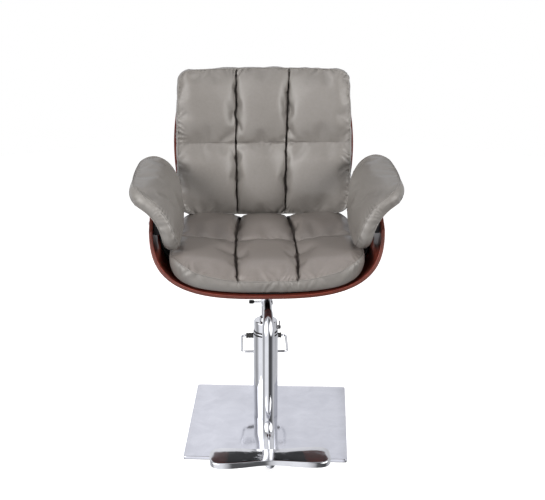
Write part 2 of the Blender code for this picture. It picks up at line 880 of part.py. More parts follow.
def build_back(mats, seat_shell):
    half = PLY / 2
    shell = slab("back_shell", back_surface(-half), back_surface(half), 18, 12, 0.36, mats["wood"])
    cushion = slab(
        "back_cushion",
        back_cushion_surface(False),
        back_cushion_surface(True),
        14,
        12,
        0.12,
        mats["leather"],
        BACK_CORNER,
    )
    spine = prism("back_spine", spine_outline(), -SPINE_HALF, SPINE_HALF, "X", mats["black"])
    pieces = [shell, cushion, spine]
    reach = PLY + SPINE_T + GAP
    for k, y in enumerate(SPINE_BOLTS_SEAT):
        name = "spine_bolt_%d" % (k + 1)
        head_z = SHELL_Z - half - 2 * GAP - SPINE_T
        at = (0, y, head_z)
        pieces.append(bolt(name, at, (0, 0, 1), 0.003, reach, 0.0065, 0.004, mats["steel"]))
        ends = ((0, y, head_z - 0.01), (0, y, head_z + reach + 0.003))
        drill("hole_" + name, [spine, seat_shell], *ends, 0.0034, mats["black"])
    for k, height in enumerate(SPINE_BOLTS_BACK):
        name = "spine_bolt_%d" % (k + 3)
        at = back_point(0, height, -(half + 2 * GAP + SPINE_T))
        pieces.append(bolt(name, at, BACK_OUT, 0.003, reach, 0.0065, 0.004, mats["steel"]))
        ends = (at - BACK_OUT * 0.01, at + BACK_OUT * (reach + 0.003))
        drill("hole_" + name, [spine, shell], *ends, 0.0034, mats["black"])
    return pieces


def arm_block_outline(hand):
    """End view of the block between the shell's wing and the arm pad."""
    bed = PLY / 2 + 2 * GAP
    steps = 60
    wing = [shell_point(SECTION_LENGTH * k / steps, 0, bed) for k in range(steps + 1)]
    outer = [(p.x, p.z) for p in wing if ARM_BLOCK_Z[0] <= p.z <= ARM_BLOCK_Z[1]]
    inner = [(0.2975, outer[-1][1]), (0.2885, outer[0][1])]
    return [(hand * x, z) for x, z in outer + inner]


def build_arms(mats, seat_shell):
    pieces = []
    for word, hand in (("left", -1), ("right", 1)):
        pieces.append(
            slab(
                "arm_pad_" + word,
                arm_surface(hand, -1),
                arm_surface(hand, 1),
                12,
                12,
                ARM_ROUNDNESS,
                mats["leather"],
                ARM_CORNER,
            )
        )
        block = prism("arm_block_" + word, arm_block_outline(hand), *ARM_BLOCK_Y, "Y", mats["black"])
        pieces.append(block)
        outside = SHELL_HALF + PLY / 2 + GAP
        for k, y in enumerate(ARM_BOLT_Y):
            name = "arm_bolt_%s_%d" % (word, k + 1)
            at = (hand * outside, y, ARM_BOLT_Z)
            pieces.append(bolt(name, at, (-hand, 0, 0), 0.003, 0.023, 0.0065, 0.003, mats["steel"]))
            inner_end = (hand * (outside - 0.0235), y, ARM_BOLT_Z)
            ends = ((hand * (outside + 0.010), y, ARM_BOLT_Z), inner_end)
            drill("hole_" + name, [seat_shell, block], *ends, 0.0034, mats["black"])
    return pieces


def build_clamp(mats):
    tip = TUBE_SLIM_R + 2 * GAP
    screw = turned(
        "clamp_screw",
        ((0, tip), (0.003, tip), (0.003, 0.0470), (0, 0.0470)),
        mats["chrome"],
        at=(0, CLAMP_Y, TUBE_Z),
        along=(-1, 0, 0),
        sides=12,
    )
    knob = turned(
        "clamp_knob",
        (
            (0, 0.0510),
            (0.0040, 0.0510),
            (0.0055, 0.0490),
            (0.0055, 0.0390),
            (0.0045, 0.0370),
            (0.0033, 0.0370),
            (0.0033, 0.0475),
            (0, 0.0475),
        ),
        mats["rubber"],
        at=(0, CLAMP_Y, TUBE_Z),
        along=(-1, 0, 0),
        sides=16,
    )
    put_on_axis("clamp_axis", (0, CLAMP_Y, TUBE_Z), [screw, knob])


def tube_radius(y, z):
    """Outer radius of the footrest tube: slim in its socket, full on its way down, slim at the tip."""
    if z > TUBE_LOW_Z + TUBE_BEND:
        share = (TUBE_Z - z + max(-0.205 - y, 0.0)) / 0.085
        return blend(TUBE_SLIM_R, TUBE_R, min(max(share, 0.0), 1.0))
    share = (TUBE_DROP - y) / 0.100
    return blend(TUBE_R, TUBE_END_R, min(max(share, 0.0), 1.0))


def lobe_end(hand, steps=10):
    """The blunt end of one lobe of the footplate, a quarter turn either side of its tip."""
    points = []
    for k in range(1, steps):
        angle = math.pi * (k / steps - 0.5)
        reach = FOOT_HALF - FOOT_LOBE + FOOT_LOBE * math.cos(angle) ** FOOT_BLUNT
        rise = math.copysign(FOOT_LOBE * abs(math.sin(angle)) ** FOOT_BLUNT, angle)
        points.append((hand * reach, FOOT_Y + hand * rise))
    return points


def footplate_outline():
    """Plan of the footplate: two blunt-ended lobes joined by a narrower waist."""
    steps = 16
    reach = FOOT_HALF - FOOT_LOBE
    front = []
    for k in range(steps + 1):
        x = reach * (2 * k / steps - 1)
        waist = (1 + math.cos(math.pi * x / reach)) / 2
        front.append((x, FOOT_Y - blend(FOOT_LOBE, FOOT_WAIST, waist)))
    rear = [(x, 2 * FOOT_Y - y) for x, y in reversed(front)]
    return front + lobe_end(1) + rear + lobe_end(-1)


def build_footrest(mats):
    corners = (
        (0, TUBE_BACK, TUBE_Z),
        (0, TUBE_DROP, TUBE_Z),
        (0, TUBE_DROP, TUBE_LOW_Z),
        (0, TUBE_TIP, TUBE_LOW_Z),
    )
    bends = rounded_path(corners, TUBE_BEND, 8)
    path = [bends[0], Vector((0, -0.205, TUBE_Z)), *bends[1:10]]
    path += [Vector((0, TUBE_DROP, 0.340)), *bends[10:-1]]
    path += [Vector((0, -0.371, TUBE_LOW_Z)), bends[-1]]
    radii = [tube_radius(p.y, p.z) for p in path]
    bm = bmesh.new()
    side = Vector((1, 0, 0))
    outer = path_rings(bm, path, radii, side, 16)
    inner = path_rings(bm, path, [r - TUBE_WALL for r in radii], side, 16)
    join_rings(bm, outer + inner[::-1], closed=True)
    tube = mesh_object("footrest_tube", bm, mats["chrome"])

    plug = TUBE_END_R - TUBE_WALL - GAP
    cap = turned(
        "tube_cap",
        (
            (0, -0.012),
            (plug, -0.012),
            (plug, GAP),
            (TUBE_END_R, GAP),
            (TUBE_END_R - 0.002, 0.003),
            (0, 0.004),
        ),
        mats["chrome"],
        at=(0, TUBE_TIP, TUBE_LOW_Z),
        along=(0, -1, 0),
        sides=16,
    )
    plate = prism("footplate", footplate_outline(), *FOOT_Z, "Z", mats["chrome"])
    edge = plate.modifiers.new("rounded_edge", "BEVEL")
    edge.width = 0.004
    edge.segments = 2
    edge.limit_method = "ANGLE"
    saddle = ((0, TUBE_TIP - 0.005, TUBE_LOW_Z), (0, -0.340, TUBE_LOW_Z))
    drill("saddle", [plate], *saddle, TUBE_END_R + 0.0009, mats["black"], 24)
    head_z = TUBE_LOW_Z - TUBE_END_R - 0.001
    screw = bolt(
        "footplate_screw", (0, FOOT_Y, head_z), (0, 0, 1), 0.003, 0.0303, 0.0055, 0.003, mats["steel"]
    )
    ends = ((0, FOOT_Y, head_z - 0.01), (0, FOOT_Y, head_z + 0.0308))
    drill("screw_hole", [tube, plate], *ends, 0.0034, mats["black"])
    put_on_axis("footrest_axis", (0, TUBE_BACK, TUBE_Z), [tube, cap, plate, screw])


def main():
    clear_scene()
    mats = {
        "chrome": make_material("chrome", (0.80, 0.81, 0.83), 0.08, 1.0),
        "mirror_steel": make_material("mirror_steel", (0.78, 0.78, 0.82), 0.12, 1.0),
        "steel": make_material("steel", (0.45, 0.45, 0.46), 0.35, 1.0),
        "black": make_material("black_paint", (0.02, 0.02, 0.02), 0.45, 0.0),
        "rubber": make_material("rubber", (0.025, 0.025, 0.025), 0.70, 0.0),
        "wood": make_material("mahogany_ply", (0.20, 0.045, 0.025), 0.30, 0.0),
        "leather": make_material("taupe_leather", (0.27, 0.255, 0.24), 0.42, 0.0),
    }
    base_plate = build_base(mats)
    build_pump(mats, base_plate)
    build_pump_block(mats)
    build_pedal(mats)
    build_lock(mats)
    build_ram(mats)
    frame_pieces, seat_plate, rails = build_seat_frame(mats)
    seat_pieces, seat_shell = build_seat(mats, seat_plate, rails)
    back_pieces = build_back(mats, seat_shell)
    arm_pieces = build_arms(mats, seat_shell)
    put_on_axis("seat_axis", (0, 0, ROD_SHOULDER), frame_pieces + seat_pieces + back_pieces + arm_pieces)
    build_clamp(mats)
    build_footrest(mats)


main()
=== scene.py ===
"""Looks of the styling chair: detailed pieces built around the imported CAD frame.

Lengths are in metres. The front is -Y, Z points up from the floor and X = 0 is the seat's middle.
"""

import bisect
import math

import bmesh
import bpy
from mathutils import Matrix, Vector
from mathutils.bvhtree import BVHTree
from mathutils.kdtree import KDTree


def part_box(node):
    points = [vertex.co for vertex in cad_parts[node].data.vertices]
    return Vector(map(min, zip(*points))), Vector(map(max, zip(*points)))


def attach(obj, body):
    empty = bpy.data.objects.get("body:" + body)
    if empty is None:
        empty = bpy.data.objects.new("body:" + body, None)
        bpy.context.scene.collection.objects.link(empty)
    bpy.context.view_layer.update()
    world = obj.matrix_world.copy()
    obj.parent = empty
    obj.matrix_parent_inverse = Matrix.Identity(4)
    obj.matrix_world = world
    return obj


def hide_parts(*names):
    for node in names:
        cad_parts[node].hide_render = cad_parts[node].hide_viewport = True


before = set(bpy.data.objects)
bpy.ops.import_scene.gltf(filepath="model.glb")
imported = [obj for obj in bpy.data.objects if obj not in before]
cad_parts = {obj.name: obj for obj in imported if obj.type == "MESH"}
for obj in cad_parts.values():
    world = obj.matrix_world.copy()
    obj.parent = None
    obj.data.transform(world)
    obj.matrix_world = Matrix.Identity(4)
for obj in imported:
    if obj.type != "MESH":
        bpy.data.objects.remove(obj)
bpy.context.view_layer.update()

SCENE = bpy.context.scene
TINY = 1e-9

# Base plate
BASE_HALF = 0.2345
BASE_CENTRE = (0.007, -0.0385)
BASE_TURN = math.radians(-4.0)

# The seat shell's section, half a superellipse, and its plan
SHELL_HALF = 0.323
SHELL_RISE = 0.205
SHELL_POWER = 3.25
SHELL_Z = 0.4855
PLY = 0.010
LINER = 0.003
LINER_RISE = 0.128
LINER_INSET = 0.014
LINER_SWEEP = 0.240
LINER_GAP = 0.0018
BED_GAP = 0.0026
SHELL_FRONT = 0.250
SHELL_REAR = 0.200
TIP_SWEEP = 0.105
FLAT_HALF = 0.120
FRONT_LIFT = 0.0100
REAR_LIFT = 0.015

# Seat cushion
CUSHION_HALF = 0.285
CUSHION_TAPER = 0.16
CUSHION_FRONT = 0.246
CUSHION_REAR = 0.186
BOXING = 0.033
REAR_BOXING = 0.076
SEAT_CROWN = 0.043
CUSHION_CORNER = 0.28

# Back
BACK_FOOT = Vector((0.0, 0.215, 0.600))
BACK_LEAN = math.radians(12.0)
BACK_UP = Vector((0.0, math.sin(BACK_LEAN), math.cos(BACK_LEAN)))
BACK_OUT = Vector((0.0, -math.cos(BACK_LEAN), math.sin(BACK_LEAN)))
BACK_HALF = 0.268
BACK_HEIGHT = 0.395
BACK_WRAP = 0.050
BACK_CUSHION_HALF = 0.255
BACK_CUSHION_H = (-0.010, 0.424)
BACK_BOXING = 0.052
BACK_CROWN = 0.033
BACK_CORNER = 0.14

# Arm pads: section curves from the bottom edge to the outer lip, (x, z)
ARM_FRONT = ((0.262, 0.610), (0.276, 0.700), (0.300, 0.742), (0.383, 0.766))
ARM_REAR = ((0.255, 0.615), (0.246, 0.740), (0.282, 0.806), (0.358, 0.782))
ARM_Y_BOTTOM = (-0.215, -0.010)
ARM_Y_LIP = (-0.185, 0.100)
ARM_EDGE_T = 0.0165
ARM_MID_T = 0.0235

# Footrest tube, and its lower end
TUBE_R = 0.0170
TUBE_UPPER_R = 0.0130
TUBE_LOW_Z = 0.0860
TUBE_END_R = 0.0135
TUBE_TIP = -0.4415
FOOT_BLUNT = 0.70

# How square the plan of each soft or bent piece is: 0 is square, 1 a disc
SHELL_ROUND = 0.30
CUSHION_ROUND = 0.34
BACK_SHELL_ROUND = 0.36
BACK_CUSHION_ROUND = 0.12
ARM_ROUND = 0.36
ARM_CORNER = 0.34


# ---------------------------------------------------------------- materials


def add(tree, kind, inputs=None, **settings):
    """A node with its settings, each input either a value or a socket to link from."""
    node = tree.nodes.new(kind)
    for key, value in settings.items():
        setattr(node, key, value)
    for key, value in (inputs or {}).items():
        if isinstance(value, bpy.types.NodeSocket):
            tree.links.new(value, node.inputs[key])
        else:
            node.inputs[key].default_value = value
    return node


def new_material(name, **sockets):
    """A material, its tree, its shader and its object coordinates."""
    material = bpy.data.materials.new(name)
    material.use_nodes = True
    tree = material.node_tree
    shader = tree.nodes["Principled BSDF"]
    for key, value in sockets.items():
        shader.inputs[key.replace("_", " ")].default_value = value
    coords = add(tree, "ShaderNodeTexCoord").outputs["Object"]
    return material, tree, shader, coords


def stretched(tree, coords, scale):
    return add(tree, "ShaderNodeMapping", {"Vector": coords, "Scale": scale}).outputs[0]


def clouds(tree, coords, scale, detail=3.0, roughness=0.5, distortion=0.0):
    inputs = {"Vector": coords, "Scale": scale, "Detail": detail, "Roughness": roughness,
        "Distortion": distortion}
    return add(tree, "ShaderNodeTexNoise", inputs).outputs["Fac"]


def ramp(tree, value, stops):
    """Colours by value: stops are (position, (red, green, blue))."""
    node = add(tree, "ShaderNodeValToRGB", {"Fac": value})
    elements = node.color_ramp.elements
    while len(elements) < len(stops):
        elements.new(0.5)
    for element, (position, colour) in zip(elements, stops):
        element.position = position
        element.color = (*colour, 1.0)
    return node.outputs["Color"]


def spread(tree, value, low, high, source=(0.0, 1.0)):
    inputs = {"Value": value, "From Min": source[0], "From Max": source[1], "To Min": low,
        "To Max": high}
    return add(tree, "ShaderNodeMapRange", inputs).outputs["Result"]


def shade(tree, colour, by, amount=1.0, how="MULTIPLY"):
    """A colour darkened by a grey value, or blended with it in another way."""
    inputs = {"Factor": amount, "A": colour, "B": by}
    return add(tree, "ShaderNodeMix", inputs, data_type="RGBA", blend_type=how).outputs["Result"]


def surface(tree, shader, colour, rough=None):
    tree.links.new(colour, shader.inputs["Base Color"])
    if rough:
        tree.links.new(rough, shader.inputs["Roughness"])


def total(tree, first, second, share):
    """first + share * second, for heights."""
    inputs = {0: second, 1: share, 2: first}
    return add(tree, "ShaderNodeMath", inputs, operation="MULTIPLY_ADD").outputs[0]


def relief(tree, shader, height, distance, strength=1.0):
    inputs = {"Height": height, "Distance": distance, "Strength": strength}
    tree.links.new(add(tree, "ShaderNodeBump", inputs).outputs["Normal"], shader.inputs["Normal"])


def leather_material(name, dark, light, wrinkle):
    """Grained leather with painted shade in its hollows, faintly creased."""
    material, tree, shader, coords = new_material(name, Specular_IOR_Level=0.60, Coat_Weight=0.22,
        Coat_Roughness=0.24)
    tone = clouds(tree, coords, 5.0, 4.0, 0.5)
    colour = ramp(tree, tone, ((0.30, dark), (0.70, light)))
    mottle = clouds(tree, coords, 120.0, 4.0, 0.6)
    spots = ramp(tree, mottle, ((0.30, (0.94, 0.93, 0.92)), (0.65, (1.0, 1.0, 1.0))))
    colour = shade(tree, colour, spots)
    # Painted shade: the colour darkens where the surface is hollow, in creases and along seams.
    point = add(tree, "ShaderNodeNewGeometry").outputs["Pointiness"]
    hollow_shade = ramp(tree, point, ((0.40, (0.55, 0.55, 0.55)), (0.52, (1.0, 1.0, 1.0))))
    colour = shade(tree, colour, hollow_shade, 0.8)
    surface(tree, shader, colour, spread(tree, mottle, 0.32, 0.40, (0.3, 0.7)))
    grain = add(tree, "ShaderNodeTexVoronoi", {"Vector": stretched(tree, coords, (1.0, 1.0, 1.15)),
        "Scale": 620.0}).outputs["Distance"]
    fine = total(tree, grain, clouds(tree, coords, 1500.0, 2.0), 0.35)
    folds = clouds(tree, coords, 30.0, 2.0, 0.45, 0.8)
    height = total(tree, fine, folds, wrinkle)
    relief(tree, shader, height, 0.00022, 0.75)
    return material


def thread_material(name, colour):
    material, tree, shader, coords = new_material(name, Roughness=0.62)
    ply = add(tree, "ShaderNodeTexWave", {"Vector": coords, "Scale": 700.0, "Distortion": 1.5},
        bands_direction="DIAGONAL").outputs["Fac"]
    # Painted shade: the thread's colour is darker in the grooves of its twist, where the bump is lowest.
    low = tuple(0.7 * c for c in colour)
    surface(tree, shader, ramp(tree, ply, ((0.2, low), (0.8, colour))))
    relief(tree, shader, ply, 0.0001)
    return material


def wood_material(name, stretch, colours):
    """Lacquered veneer whose grain runs along the axes with the smallest stretch.

    `colours` runs from the darkest of the grain to the lightest.
    """
    material, tree, shader, coords = new_material(name, Coat_Weight=0.22, Coat_Roughness=0.07,
        Specular_IOR_Level=0.5)
    along = stretched(tree, coords, stretch)
    broad = clouds(tree, along, 1.6, 5.0, 0.62, 0.9)
    streaks = clouds(tree, along, 9.0, 6.0, 0.7, 0.4)
    grain = total(tree, broad, streaks, 0.55)
    grain = spread(tree, grain, 0.0, 1.0, (0.45, 1.05))
    colour = ramp(tree, grain, tuple(zip((0.0, 0.45, 0.75, 1.0), colours)))
    pores = clouds(tree, stretched(tree, along, (6.0, 6.0, 6.0)), 14.0, 2.0, 0.4)
    dark_pores = ramp(tree, pores, ((0.34, (0.55, 0.48, 0.45)), (0.44, (1.0, 1.0, 1.0))))
    colour = shade(tree, colour, dark_pores, 0.7)
    surface(tree, shader, colour, spread(tree, streaks, 0.26, 0.42))
    relief(tree, shader, total(tree, grain, pores, 0.5), 0.00006)
    return material


def ply_material(name, dark, light):
    """The cut edge of one ply: end grain in short dashes."""
    material, tree, shader, coords = new_material(name, Coat_Weight=0.1, Coat_Roughness=0.3)
    dashes = clouds(tree, coords, 420.0, 3.0, 0.6)
    broad = clouds(tree, coords, 14.0, 2.0)
    grain = total(tree, dashes, broad, 0.8)
    colour = ramp(tree, spread(tree, grain, 0.0, 1.0, (0.5, 1.25)), ((0.0, dark), (1.0, light)))
    surface(tree, shader, colour, spread(tree, dashes, 0.35, 0.6))
    relief(tree, shader, dashes, 0.00008)
    return material


def metal_material(name, dark, light, rough, wave=0.0, wave_scale=7.0, brushed=None):
    """Plated or polished metal with faint smears, and brush marks if a stretch is given."""
    material, tree, shader, coords = new_material(name, Metallic=1.0)
    smears = clouds(tree, coords, 16.0, 4.0, 0.6, 0.6)
    colour = ramp(tree, smears, ((0.30, dark), (0.70, light)))
    fine = clouds(tree, coords, 240.0, 3.0, 0.7)
    worn = total(tree, smears, fine, 0.5)
    if brushed:
        marks = clouds(tree, stretched(tree, coords, brushed), 40.0, 4.0, 0.7)
        worn = total(tree, worn, marks, 0.8)
    surface(tree, shader, colour, spread(tree, worn, *rough, (0.45, 1.1)))
    height, distance = fine, 0.000004
    if wave:
        swell = clouds(tree, coords, wave_scale, 1.0, 0.4)
        height = total(tree, spread(tree, fine, 0.0, 0.004), swell, 1.0)
        distance = wave
    relief(tree, shader, height, distance)
    return material


def matt_material(name, dark, light, rough, scale, depth, specular=0.4):
    """Rubber, moulded plastic, felt or paint: a speckled tone with a fine relief."""
    material, tree, shader, coords = new_material(name, Specular_IOR_Level=specular)
    tone = clouds(tree, coords, 22.0, 4.0, 0.6)
    dust = clouds(tree, coords, scale, 3.0, 0.65)
    colour = ramp(tree, total(tree, tone, dust, 0.5), ((0.50, dark), (0.95, light)))
    surface(tree, shader, colour, spread(tree, dust, *rough, (0.3, 0.7)))
    relief(tree, shader, dust, depth)
    return material


TAUPE = ((0.196, 0.181, 0.166), (0.232, 0.216, 0.200))
# Painted light: the seat's taupe is a warmer copy of the same leather, for the warmer light the seat gets
# from around it.
TAUPE_WARM_LIT = ((0.196, 0.172, 0.157), (0.230, 0.205, 0.189))
# Painted light: the band taupe is a slightly lighter copy of the same leather, for the boxing strips and
# welts that face the light.
TAUPE_BAND_LIT = ((0.200, 0.186, 0.172), (0.238, 0.224, 0.208))
# Painted light: the seat's mahogany is a lighter copy of the back's, brightened so the shaded inner side of
# the seat shell still reads brown.
MAHOGANY = ((0.052, 0.011, 0.007), (0.152, 0.028, 0.018), (0.225, 0.044, 0.026), (0.320, 0.080, 0.044))
MAHOGANY_BACK = ((0.040, 0.008, 0.006), (0.114, 0.019, 0.013), (0.172, 0.030, 0.018), (0.250, 0.056, 0.032))
PLY_DARK = ((0.036, 0.008, 0.006), (0.085, 0.019, 0.013))
PLY_LIGHT = ((0.095, 0.025, 0.015), (0.175, 0.049, 0.028))
CHROME = ((0.74, 0.745, 0.77), (0.84, 0.845, 0.87))
CAST = ((0.72, 0.72, 0.74), (0.82, 0.82, 0.84))
# Partly painted reflection: the mirror steel is grey steel, and its bluish tint stands in for the bluish
# light it mirrors.
SHEET_REFLECTION_TINTED = ((0.70, 0.705, 0.76), (0.80, 0.805, 0.86))
ZINC = ((0.34, 0.34, 0.345), (0.52, 0.52, 0.53))
PAINT = ((0.012, 0.012, 0.013), (0.024, 0.024, 0.025))
PLASTIC = ((0.014, 0.014, 0.014), (0.026, 0.026, 0.026))
RUBBER = ((0.016, 0.016, 0.016), (0.034, 0.033, 0.032))
# Partly painted shade: the liner is black, and that black also stands in for the shade in the gap between
# shell and cushion.
FELT_AND_GAP_SHADE = ((0.008, 0.008, 0.008), (0.018, 0.017, 0.017))
MATS = {
    "leather": leather_material("taupe_leather", *TAUPE, 0.9),
    "leather_seat": leather_material("taupe_leather_seat_warm_lit", *TAUPE_WARM_LIT, 0.9),
    "leather_arm": leather_material("taupe_leather_arm", *TAUPE, 0.45),
    "leather_band": leather_material("taupe_leather_band_lit", *TAUPE_BAND_LIT, 0.6),
    "thread": thread_material("taupe_thread", (0.26, 0.245, 0.225)),
    "wood": wood_material("mahogany_seat_lightened", (1.0, 26.0, 1.0), MAHOGANY),
    "wood_back": wood_material("mahogany_back", (26.0, 1.0, 1.0), MAHOGANY_BACK),
    "ply_dark": ply_material("ply_edge_dark", *PLY_DARK),
    "ply_light": ply_material("ply_edge_light", *PLY_LIGHT),
    "chrome": metal_material("chrome", *CHROME, (0.03, 0.10)),
    "cast": metal_material("cast_chrome", *CAST, (0.04, 0.12), 0.0004, 26.0),
    "sheet": metal_material("mirror_steel", *SHEET_REFLECTION_TINTED, (0.05, 0.14), 0.010, 5.0),
    "steel": metal_material("zinc_steel", *ZINC, (0.24, 0.42), brushed=(1.0, 1.0, 18.0)),
    "paint": matt_material("black_paint", *PAINT, (0.30, 0.46), 520.0, 0.00006, 0.5),
    "plastic": matt_material("black_plastic", *PLASTIC, (0.36, 0.5), 760.0, 0.00005),
    "rubber": matt_material("rubber", *RUBBER, (0.58, 0.78), 430.0, 0.00010),
    "felt": matt_material("black_liner_and_gap_shade", *FELT_AND_GAP_SHADE, (0.80, 0.95), 900.0, 0.00025, 0.2),
}


# ---------------------------------------------------------------- mesh helpers


def blend(a, b, share):
    return a + (b - a) * share


def object_from(name, bm, materials, crease=38.0):
    bmesh.ops.recalc_face_normals(bm, faces=bm.faces)
    mesh = bpy.data.meshes.new(name)
    bm.to_mesh(mesh)
    bm.free()
    for material in materials:
        mesh.materials.append(MATS[material])
    mesh.shade_smooth()
    mesh.set_sharp_from_angle(angle=math.radians(crease))
    obj = bpy.data.objects.new(name, mesh)
    SCENE.collection.objects.link(obj)
    return obj


def belong(obj, body, slot, *nodes):
    """The piece rides on its body and stands for its CAD nodes, which it hides; `slot` is not used."""
    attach(obj, body)
    if nodes:
        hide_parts(*nodes)
    return obj


def join_rings(bm, rings, closed=False, material=0):
    count = len(rings[0])
    pairs = list(zip(rings, rings[1:]))
    if closed:
        pairs.append((rings[-1], rings[0]))
    for lower, upper in pairs:
        for k in range(count):
            j = (k + 1) % count
            corners = list(dict.fromkeys((lower[k], lower[j], upper[j], upper[k])))
            if len(corners) > 2:
                bm.faces.new(corners).material_index = material


def soften(profile, radius, steps=3, closed=False):
    """A profile of (radius, height) points with its corners rounded off."""
    points = [Vector(p) for p in profile]
    count = len(points)
    result = []
    for k, corner in enumerate(points):
        if not closed and k in (0, count - 1):
            result.append(tuple(corner))
            continue
        back = points[k - 1] - corner
        ahead = points[(k + 1) % count] - corner
        reach = min(radius, 0.45 * back.length, 0.45 * ahead.length)
        first = corner + back.normalized() * reach
        last = corner + ahead.normalized() * reach
        for j in range(steps + 1):
            t = j / steps
            point = first * (1 - t) ** 2 + corner * (2 * t * (1 - t)) + last * t**2
            result.append(tuple(point))
    return result


def turned_rings(bm, profile, sides, radius_at):
    """Rings of vertices about the Z axis for (radius, height) points, or one vertex at radius 0."""
    rings = []
    for n, (radius, height) in enumerate(profile):
        if radius < TINY:
            rings.append([bm.verts.new((0, 0, height))] * sides)
            continue
        ring = []
        for k in range(sides):
            angle = 2 * math.pi * k / sides
            r = radius_at(n, radius, angle)
            ring.append(bm.verts.new((r * math.cos(angle), r * math.sin(angle), height)))
        rings.append(ring)
    return rings


def stood(bm, at, along):
    """Stands what was built about the Z axis at a place, along another axis."""
    turn = Vector((0, 0, 1)).rotation_difference(Vector(along)).to_matrix().to_4x4()
    bmesh.ops.transform(bm, matrix=Matrix.Translation(at) @ turn, verts=bm.verts)


def turned(name, profile, material, at=(0, 0, 0), along=(0, 0, 1), sides=72, edge=0.0006, flutes=None):
    """A profile of (radius, height) turned about its axis, with rounded corners.

    It is solid where the profile starts and ends at radius 0, and a closed ring elsewhere. `flutes`
    holds their number, the radius from which they show, and their depth.
    """
    solid = profile[0][0] < TINY

    def fluted(n, radius, angle):
        if not flutes or radius <= flutes[1]:
            return radius
        return radius - flutes[2] * (0.5 + 0.5 * math.cos(flutes[0] * angle)) ** 3

    bm = bmesh.new()
    rings = turned_rings(bm, soften(profile, edge, closed=not solid), sides, fluted)
    join_rings(bm, rings, closed=not solid)
    stood(bm, at, along)
    return object_from(name, bm, [material])


def spun(name, profile, material, owner, **shape):
    """A turned piece with its owner: the body, the slot and the CAD node that it stands for."""
    return belong(turned(name, profile, material, **shape), *owner)


def rounded_path(points, radius, steps, closed=False):
    """A polyline whose inner corners are arcs."""
    points = [Vector(p) for p in points]
    count = len(points)
    path = []
    for k, corner in enumerate(points):
        if not closed and k in (0, count - 1):
            path.append(corner)
            continue
        back = (points[k - 1] - corner).normalized()
        ahead = (points[(k + 1) % count] - corner).normalized()
        half = back.angle(ahead) / 2
        centre = corner + (back + ahead).normalized() * (radius / math.sin(half))
        first = corner + back * (radius / math.tan(half)) - centre
        last = corner + ahead * (radius / math.tan(half)) - centre
        turn = first.angle(last)
        for j in range(steps + 1):
            share = j / steps
            spoke = first * math.sin((1 - share) * turn) + last * math.sin(share * turn)
            path.append(centre + spoke / math.sin(turn))
    return path


def tube_rings(bm, path, radii, side, sides, closed=False):
    """Rings of vertices square to a path that stays roughly square to `side`."""
    rings = []
    count = len(path)
    for k, centre in enumerate(path):
        before = path[k - 1] if closed or k > 0 else centre
        after = path[(k + 1) % count] if closed or k < count - 1 else centre
        along = (after - before).normalized()
        normal = along.cross(side).normalized()
        across = normal.cross(along)
        ring = []
        for j in range(sides):
            angle = 2 * math.pi * j / sides
            spoke = math.cos(angle) * across + math.sin(angle) * normal
            ring.append(bm.verts.new(centre + radii[k] * spoke))
        rings.append(ring)
    return rings


def dressed(name, node, material, body, slot, edge=0.0007):
    """A copy of a carried CAD node with its sharp edges rounded."""
    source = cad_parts[node]
    bm = bmesh.new()
    bm.from_mesh(source.data)
    bmesh.ops.remove_doubles(bm, verts=bm.verts, dist=0.000002)
    flat = math.radians(1.0)
    bmesh.ops.dissolve_limit(bm, angle_limit=flat, verts=bm.verts, edges=bm.edges)
    for face in bm.faces:
        face.material_index = 0
    obj = object_from(name, bm, [material])
    rounding = obj.modifiers.new("rounded_edges", "BEVEL")
    rounding.width = edge
    rounding.segments = 2
    rounding.limit_method = "ANGLE"
    rounding.angle_limit = math.radians(30)
    rounding.harden_normals = True
    return belong(obj, body, slot, node)


# ---------------------------------------------------------------- surfaces of the bent pieces


def superellipse_table(samples=480):
    power = 2 / SHELL_POWER
    table = [(0.0, 0.0, 0.0)]
    for k in range(1, samples + 1):
        angle = math.pi / 2 * k / samples
        x = SHELL_HALF * math.sin(angle) ** power
        z = SHELL_RISE * (1 - max(math.cos(angle), 0.0) ** power)
        step = math.hypot(x - table[-1][1], z - table[-1][2])
        table.append((table[-1][0] + step, x, z))
    return table


SECTION = superellipse_table()
SECTION_LENGTHS = [row[0] for row in SECTION]
SECTION_LENGTH = SECTION_LENGTHS[-1]


def section_point(length):
    """(x, z) of the shell's section at a signed length from its middle."""
    wanted = min(abs(length), SECTION_LENGTH)
    high = min(max(bisect.bisect_left(SECTION_LENGTHS, wanted), 1), len(SECTION) - 1)
    (l0, x0, z0), (l1, x1, z1) = SECTION[high - 1 : high + 1]
    share = (wanted - l0) / (l1 - l0)
    return math.copysign(blend(x0, x1, share), length), blend(z0, z1, share)


def shell_lift(y):
    """How far the shell's front and rear edges curl up at depth y."""
    if y < -FLAT_HALF:
        return FRONT_LIFT * ((-y - FLAT_HALF) / (SHELL_FRONT - FLAT_HALF)) ** 2
    if y > FLAT_HALF:
        return REAR_LIFT * ((y - FLAT_HALF) / (SHELL_REAR - FLAT_HALF)) ** 2
    return 0.0


def shell_point(length, y, offset):
    """A point `offset` above the shell's middle surface, square to its section."""
    reach = 0.01
    near = section_point(max(length - reach, -SECTION_LENGTH))
    far = section_point(min(length + reach, SECTION_LENGTH))
    run = math.hypot(far[0] - near[0], far[1] - near[1])
    x, z = section_point(length)
    x -= offset * (far[1] - near[1]) / run
    z += offset * (far[0] - near[0]) / run
    return Vector((x, y, SHELL_Z + z + shell_lift(y)))


def back_point(x, height, offset):
    """A point `offset` in front of the leaning, wrapped back."""
    wrap = BACK_WRAP * abs(x / BACK_HALF) ** 3
    return BACK_FOOT + Vector((x, 0, 0)) + BACK_UP * height + BACK_OUT * (wrap + offset)


